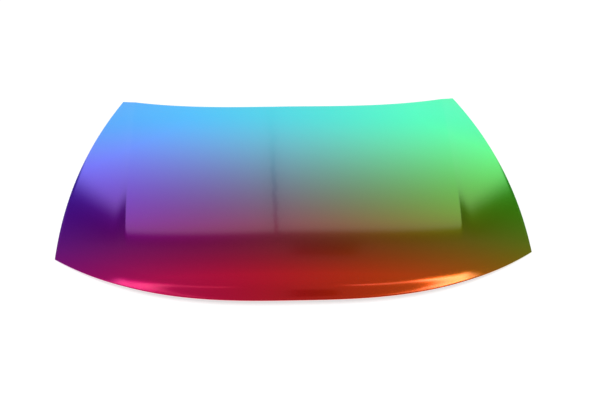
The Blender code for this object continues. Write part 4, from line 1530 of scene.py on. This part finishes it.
@dataclass
class RubberParts:
    """The two round stops on the front rail and the two pads on the side rails."""

    lines: FrameForm
    stop_radius: float = 0.014
    stop_height: float = 0.014
    stem_radius: float = 0.005
    stem_length: float = 0.006
    pad_size: Sequence[float] = (0.040, 0.016, 0.006)
    pad_edge: float = 0.002
    pad_stem_radius: float = 0.0035
    pad_stem_length: float = 0.005

    def build(self) -> None:
        """Builds the stops and pads of both sides."""
        for side in Side:
            place = self.lines.stop_seat(side).below(self.lines.gap)
            shape = turned(self.stop_profile(), place, 64)
            stop = smooth_object(shape, f"rubber_buffer_{side.word}", RUBBER)
            stand_for(stop, RUBBER, f"rubber_stop_{side.word}")
            self.pad(side)

    def stop_profile(self) -> Profile:
        """The stop's section: a stem, three grooves round the side and a dished face."""
        radius, height = self.stop_radius, self.stop_height
        stem, length = self.stem_radius, self.stem_length
        profile = [
            (0.0, -length), (stem - 0.0012, -length), (stem, -length + 0.0012), (stem, -0.0004),
            (stem, 0.0), (radius - 0.0006, 0.0), (radius, 0.0006),
        ]
        for k in range(3):
            at = 0.0022 + k * 0.0030
            groove = radius - 0.0008
            profile += [(radius, at), (groove, at + 0.0005), (groove, at + 0.0011), (radius, at + 0.0016)]
        profile += [
            (radius, height - 0.0030), (radius - 0.0004, height - 0.0015),
            (radius - 0.0012, height - 0.0005), (radius - 0.0026, height),
            (radius - 0.0046, height), (radius - 0.0056, height - 0.0008),
            (0.0036, height - 0.0009), (0.0028, height - 0.0020), (0.0, height - 0.0020),
        ]
        return profile

    def pad(self, side: Side) -> bpy.types.Object:
        """A pad with rounded edges and a stem."""
        place = self.lines.side_seat(side, 0.5).below(self.lines.gap)
        block = rounded_box(self.pad_size, 0.004, self.pad_edge * 0.55, place)
        radius, length = self.pad_stem_radius, self.pad_stem_length
        stem = turned([
            (0.0, -length), (radius - 0.0008, -length), (radius, -length + 0.0008),
            (radius, 0.0005), (0.0, 0.0005),
        ], place, 32)
        pad = smooth_object(join(block, stem), f"rubber_pad_{side.word}", RUBBER)
        stand_for(pad, RUBBER, f"side_pad_{side.word}")
        return pad


@dataclass
class PropRodBush:
    """The plastic bush that the end of the car's prop rod goes in."""

    lines: FrameForm
    flange_radius: float = 0.0115
    flange_height: float = 0.0025
    body_radius: float = 0.008
    body_length: float = 0.007
    bore_radius: float = 0.005

    def build(self) -> bpy.types.Object:
        """Builds the bush: a rounded flange, a lead-in and a snap ring on its body."""
        bore, body, flange = self.bore_radius, self.body_radius, self.flange_radius
        height, length = self.flange_height, self.body_length
        profile = [
            (bore, height - 0.0010), (bore + 0.0003, height - 0.0004), (bore + 0.0010, height),
            (flange - 0.0010, height), (flange - 0.0003, height - 0.0003), (flange, height - 0.0010),
            (flange, 0.0003), (flange - 0.0003, 0.0), (body - 0.0004, 0.0), (body - 0.0004, -0.0014),
            (body, -0.0020), (body, -0.0030), (body - 0.0008, -length + 0.0005),
            (body - 0.0013, -length), (bore, -length),
        ]
        place = self.lines.bush_seat().below(self.lines.gap)
        bush = smooth_object(turned(profile, place, 64), "rod_bush", PLASTIC)
        stand_for(bush, PLASTIC, "prop_rod_bush")
        return bush


@dataclass
class Bonding:
    """What sticks the sheets together: the stiffener, the mastic beads and the hem sealer."""

    lines: FrameForm
    stiffener_half_width: float = 0.130
    stiffener_span: tuple[float, float] = (0.056, 0.122)
    stiffener_thickness: float = 0.0008
    mastic_width: float = 0.009
    mastic_span: tuple[float, float] = (0.20, 0.72)
    mastic_steps: int = 90
    sealer_radius: float = 0.0008
    sealer_at: float = 0.0128

    def build(self) -> None:
        """Builds all three kinds."""
        self.stiffener()
        lines = self.lines
        aside = lines.rib_half_bottom + lines.wall + lines.flange_width / 2
        edges = [(rib, edge) for rib in (lines.inner_rib, lines.outer_rib) for edge in (-aside, aside)]
        for side in Side:
            for number, (rib, edge) in enumerate(edges, start=1):
                self.mastic(side, number, lines.rib_line(rib, edge))
        self.sealer()

    def stiffener(self) -> bpy.types.Object:
        """The thin plate glued under the skin behind the nose."""
        lines, form = self.lines, self.lines.form
        depth = lines.skin + lines.gap + lines.sag
        start, end = self.stiffener_span

        def place(i: int, j: int) -> Vector:
            """The point of the plate at a column and a row of its grid."""
            x = mix(-self.stiffener_half_width, self.stiffener_half_width, i / 52)
            return form.under(x, form.v_from_nose(x, mix(end, start, j / 14)), depth)

        plate = smooth_object(grid_sheet(53, 15, place), "nose_stiffener", FRAME_PRIMER)
        thicken(plate, self.stiffener_thickness)
        stand_for(plate, FRAME_PRIMER, "skin_stiffener")
        return plate

    def mastic(self, side: Side, number: int, column: Column) -> bpy.types.Object:
        """One bead of mastic, squeezed flat between the sheets, with uneven edges."""
        lines, form = self.lines, self.lines.form
        top = lines.skin + lines.gap + lines.sag
        bottom = lines.flange_depth - lines.gap
        places = [(side.value * column(v), v) for v in spread(*self.mastic_span, self.mastic_steps)]
        path = [form.under(x, v, (top + bottom) / 2) for x, v in places]
        up = [form.normal(x, v) for x, v in places]
        half = self.mastic_width / 2

        def section(k: int) -> tuple[float, float]:
            """Half the bead's width and height, which waver and shrink at both ends."""
            end = min(k, self.mastic_steps - k) / 4
            taper = math.sqrt(max(0.0, min(1.0, end * (2 - end)))) if end < 1 else 1.0
            wave = 0.84 + 0.10 * math.sin(0.9 * k + number) + 0.06 * math.sin(2.3 * k + 2 * number)
            return half * max(0.12, taper) * wave, (bottom - top) / 2 * max(0.2, taper)

        name = f"mastic_{side.word}_{number}"
        bead = smooth_object(sweep(path, section, up, 12), name, MASTIC, 60.0)
        stand_for(bead, MASTIC, f"mastic_bead_{side.word}_{number}")
        return bead

    def sealer(self) -> bpy.types.Object:
        """The thin bead of sealer all along the folded edge."""
        lines, form = self.lines, self.lines.form
        at = self.sealer_at
        depth = lines.hem_depth + lines.sheet + lines.gap + self.sealer_radius
        edge = lines.side_line(at)
        ends = [form.cross(edge, row) for row in ((1.0, -at), (0.0, at))]
        (nose_x, nose_v), (rear_x, rear_v) = ends
        places = []
        for x in spread(-nose_x, nose_x, 200)[:-1]:
            in_middle = abs(x) < 0.1
            crossing = form.cross(lambda v, x=x: x, (1.0, -at))
            places.append((x, form.v_from_nose(x, at) if in_middle else crossing[1]))
        places += [(edge(v), v) for v in spread(nose_v, rear_v, 150)[:-1]]
        for x in spread(rear_x, -rear_x, 180)[:-1]:
            places.append((x, form.cross(lambda v, x=x: x, (0.0, at))[1]))
        places += [(-edge(v), v) for v in spread(rear_v, nose_v, 150)[:-1]]
        path = [form.under(x, v, depth) for x, v in places]
        up = [form.normal(x, v) for x, v in places]

        def section(k: int) -> tuple[float, float]:
            """Half the bead's width and height, which waver a little."""
            radius = self.sealer_radius * (0.90 + 0.07 * math.sin(0.7 * k) + 0.03 * math.sin(2.1 * k))
            return radius, radius

        bead = smooth_object(sweep(path, section, up, 8, closed=True), "sealer_bead", SEALER, 60.0)
        stand_for(bead, SEALER, "hem_sealer")
        return bead


@dataclass
class Studio:
    """A plain studio: a pale floor, a bright wall behind the bonnet and a dark room above it.

    The wall, the dark patch over it and the two lit arcs of the ceiling behind the camera show
    only in gloss. The lengths are in metres and lie on the wall or the ceiling.
    """

    camera_place: Vector = field(default_factory=lambda: Vector((-0.0721, -2.3326, 2.0844)))
    camera_elevation_deg: float = 42.32
    camera_azimuth_deg: float = 2.38
    camera_roll_deg: float = -0.79
    camera_lens_mm: float = 57.71
    camera_sensor_mm: float = 36.0
    camera_clip: tuple[float, float] = (0.05, 60.0)
    world_strength: float = 0.7
    floor_half_size: float = 12.0
    floor_glow: float = 0.62
    floor_grey: float = 0.5
    wall_y: float = 3.0
    wall_middle: float = 0.12
    wall_half_width: float = 2.54
    wall_top: float = 4.15
    wall_arch: float = 0.06
    wall_corner: float = 0.35
    wall_edge: float = 0.16
    wall_glow: float = 0.99
    wall_shade: tuple[float, float] = (0.1, 0.9)
    room_half_width: float = 6.0
    room_height: float = 6.0
    room_front: float = -6.0
    room_glow: float = 0.15
    patch_middle: tuple[float, float] = (0.58, 4.72)
    patch_half_size: tuple[float, float] = (0.46, 0.6)
    patch_edge: float = 0.15
    seam_x: float = -0.10
    seam_half_width: float = 0.045
    seam_wobble: float = 0.10
    seam_waves: float = 5.0
    seam_fade: tuple[float, float] = (1.0, 3.2)
    seam_darkening: float = 0.95
    ring_radius: float = 4.85
    ring_squeeze: float = 0.85
    ring_half_width: float = 0.5
    ring_faint: tuple[float, float] = (1.0, 1.9)
    ring_faint_share: float = 0.18
    ring_bright: tuple[float, float] = (3.2, 4.5)
    ring_ends: tuple[float, float] = (-1.0, -2.5)
    ring_glow: float = 6.5
    ring_left_share: float = 0.32
    lamp_watts: float = 49.0
    lamp_size: tuple[float, float] = (4.0, 3.0)
    lamp_place: tuple[float, float, float] = (0.0, -0.5, 3.5)

    def build(self) -> None:
        """Builds the stage, the light and the camera, with plain colours."""
        bpy.context.scene.view_settings.view_transform = "Standard"
        self.camera()
        self.world()
        self.floor()
        self.surround()
        self.lamp()

    def camera(self) -> None:
        """Sets the camera as the photo was taken: over the nose, looking down on it."""
        elevation = math.radians(self.camera_elevation_deg)
        azimuth = math.radians(self.camera_azimuth_deg)
        roll = math.radians(self.camera_roll_deg)
        flat = math.cos(elevation)
        ahead = Vector((math.sin(azimuth) * flat, math.cos(azimuth) * flat, -math.sin(elevation)))
        right = ahead.cross(Vector((0, 0, 1))).normalized()
        up = right.cross(ahead)
        rolled_right = right * math.cos(roll) - up * math.sin(roll)
        rolled_up = right * math.sin(roll) + up * math.cos(roll)
        data = bpy.data.cameras.new("camera")
        data.sensor_width = self.camera_sensor_mm
        data.lens = self.camera_lens_mm
        data.clip_start, data.clip_end = self.camera_clip
        camera = bpy.data.objects.new("camera", data)
        turn = Matrix((rolled_right, rolled_up, -ahead)).transposed().to_4x4()
        camera.matrix_world = Matrix.Translation(self.camera_place) @ turn
        bpy.context.scene.collection.objects.link(camera)
        bpy.context.scene.camera = camera

    def world(self) -> None:
        """Lights the scene softly all round, with a white that the camera and gloss see."""
        world = bpy.data.worlds.new("studio_light")
        world.use_nodes = True
        bpy.context.scene.world = world
        tree = world.node_tree
        strength = self.seen_directly(tree) * (1 - self.world_strength) + self.world_strength
        background = tree.nodes["Background"]
        tree.links.new(strength.socket, background.inputs["Strength"])
        background.inputs["Color"].default_value = (1.0, 1.0, 1.0, 1.0)

    def seen_directly(self, tree: Tree) -> Signal:
        """One for rays from the camera, off gloss or through glass, and zero for the rest."""
        path = add_node(tree, "ShaderNodeLightPath").outputs
        seen = Signal(tree, path["Is Camera Ray"])
        for kind in ("Is Glossy Ray", "Is Transmission Ray"):
            seen = seen.apply("MAXIMUM", Signal(tree, path[kind]))
        return seen

    def stage_object(self, bm: Shape, name: str, shade: bpy.types.Material) -> bpy.types.Object:
        """Makes a part of the stage from a bmesh.

        Args:
            bm: Its shape. It is freed.
            name: Its name.
            shade: Its material.

        Returns:
            The object.
        """
        mesh = bpy.data.meshes.new(name)
        bm.to_mesh(mesh)
        bm.free()
        mesh.materials.append(shade)
        obj = bpy.data.objects.new(name, mesh)
        bpy.context.scene.collection.objects.link(obj)
        return obj

    def bare_material(self, name: str) -> bpy.types.Material:
        """A material for the stage with an empty node tree."""
        shade = bpy.data.materials.new(name)
        shade.use_nodes = True
        shade.node_tree.nodes.clear()
        return shade

    def floor(self) -> None:
        """Lays the pale floor, which keeps the bonnet's shadow."""
        shade = self.bare_material("studio_floor")
        tree = shade.node_tree
        glow_colour = (self.floor_glow, self.floor_glow, self.floor_glow, 1.0)
        matt_colour = (self.floor_grey, self.floor_grey, self.floor_grey, 1.0)
        seen = self.seen_directly(tree).socket
        glow = add_node(tree, "ShaderNodeEmission", inputs={"Color": glow_colour, "Strength": seen})
        matt = add_node(tree, "ShaderNodeBsdfDiffuse", inputs={"Color": matt_colour})
        both = add_node(tree, "ShaderNodeAddShader", inputs={0: glow.outputs[0], 1: matt.outputs[0]})
        add_node(tree, "ShaderNodeOutputMaterial", inputs={0: both.outputs[0]})
        bm = bmesh.new()
        bmesh.ops.create_grid(bm, x_segments=1, y_segments=1, size=self.floor_half_size)
        self.stage_object(bm, "floor", shade)

    def surround(self) -> None:
        """Puts a closed room round the bonnet that only gloss sees: a bright wall in the dark."""
        shade = self.bare_material("studio_surround")
        tree = shade.node_tree
        strength = self.surround_strength(tree).socket
        glow = add_node(tree, "ShaderNodeEmission", inputs={"Strength": strength})
        add_node(tree, "ShaderNodeOutputMaterial", inputs={0: glow.outputs[0]})
        left, right = -self.room_half_width, self.room_half_width
        back, front, top = self.wall_y, self.room_front, self.room_height
        bm = bmesh.new()
        for low, high in (
            ((left, back, 0.0), (right, back, top)),
            ((left, front, 0.0), (right, front, top)),
            ((left, front, 0.0), (left, back, top)),
            ((right, front, 0.0), (right, back, top)),
            ((left, front, top), (right, back, top)),
        ):
            self.add_panel(bm, Vector(low), Vector(high))
        room = self.stage_object(bm, "surround", shade)
        room.visible_camera = False
        room.visible_diffuse = False
        room.visible_shadow = False
        room.visible_transmission = False

    def surround_strength(self, tree: Tree) -> Signal:
        """How bright the room is at each place: white on the wall, dark round it, grey beyond."""
        place = add_node(tree, "ShaderNodeTexCoord").outputs["Object"]
        x, y, z = axes_of(tree, place)
        corner = self.wall_corner
        over = x * x * self.wall_arch + z - (self.wall_top - corner)
        beside = abs(x - self.wall_middle) - (self.wall_half_width - corner)
        over, beside = over.apply("MAXIMUM", 0.0), beside.apply("MAXIMUM", 0.0)
        in_front = y * -1.0 + self.wall_y
        off = (over * over + beside * beside).apply("SQRT") + in_front
        shade_start, shade_end = self.wall_shade
        wall = off.step(corner + self.wall_edge, corner - self.wall_edge) * self.seam(x, z)
        room = off.step(corner + shade_start, corner + shade_end) * self.dark_patch(x, z)
        return wall * self.wall_glow + room * self.room_glow + self.ring(x, y, z) * self.ring_glow

    def dark_patch(self, x: Signal, z: Signal) -> Signal:
        """What is left of the room's light at a dark opening over the wall."""
        inside = []
        for axis, middle, half in zip((x, z), self.patch_middle, self.patch_half_size):
            inside.append(abs(axis - middle).step(half + self.patch_edge, half - self.patch_edge))
        return inside[0] * inside[1] * -1.0 + 1.0

    def seam(self, x: Signal, z: Signal) -> Signal:
        """What is left of the wall's light along the seam of its cloth, which fades downwards."""
        tree = z.tree
        height = add_node(tree, "ShaderNodeCombineXYZ", inputs={2: z.socket}).outputs[0]
        inputs = {"Vector": height, "Scale": self.seam_waves, "Detail": 2.0}
        waves = Signal(tree, add_node(tree, "ShaderNodeTexNoise", inputs=inputs).outputs[0])
        middle = waves * self.seam_wobble + (self.seam_x - self.seam_wobble / 2)
        line = abs(x - middle).step(self.seam_half_width, 0.0) * z.step(*self.seam_fade)
        return line * -self.seam_darkening + 1.0

    def ring(self, x: Signal, y: Signal, z: Signal) -> Signal:
        """One on the two lit arcs of the ceiling, faint towards the middle, and zero off them."""
        across = x * self.ring_squeeze
        off = (across * across + y * y).apply("SQRT") - self.ring_radius
        aside = abs(x)
        arcs = abs(off).step(self.ring_half_width, 0.0) * aside.step(*self.ring_faint)
        arcs = arcs * aside.step(*self.ring_bright, self.ring_faint_share, 1.0)
        arcs = arcs * x.step(-0.1, 0.1, self.ring_left_share, 1.0) * y.step(*self.ring_ends)
        return arcs * z.step(self.room_height - 0.2, self.room_height - 0.1)

    def add_panel(self, bm: Shape, low: Vector, high: Vector) -> None:
        """Adds a flat panel that fills the box between two corners, which is thin one way."""
        size = high - low
        thin = min(range(3), key=lambda k: abs(size[k]))
        quarter = math.pi / 2
        turn = (Matrix.Rotation(quarter, 4, "Y"), Matrix.Rotation(quarter, 4, "X"), Matrix())[thin]
        scale = Matrix.Diagonal((*[max(abs(s), 0.000001) for s in size], 1.0))
        place = Matrix.Translation((low + high) / 2) @ scale @ turn
        bmesh.ops.create_grid(bm, x_segments=1, y_segments=1, size=0.5, matrix=place)

    def lamp(self) -> None:
        """Hangs one wide soft lamp over the bonnet, which doesn't show in its gloss."""
        data = bpy.data.lights.new("soft_top_light", "AREA")
        data.shape = "RECTANGLE"
        data.size, data.size_y = self.lamp_size
        data.energy = self.lamp_watts
        lamp = bpy.data.objects.new("soft_top_light", data)
        lamp.location = self.lamp_place
        lamp.visible_glossy = False
        bpy.context.scene.collection.objects.link(lamp)


def main() -> None:
    """Builds the bonnet's looks and the studio round it."""
    form = BonnetForm()
    Studio().build()
    OuterSkin(form).build()
    lines = FrameForm(form)
    InnerFrame(lines).build()
    HingeFixings(lines).build()
    Striker(lines).build()
    RubberParts(lines).build()
    PropRodBush(lines).build()
    Bonding(lines).build()


if __name__ == "__main__":
    logging.basicConfig(level=logging.INFO, format="%(message)s")
    main()
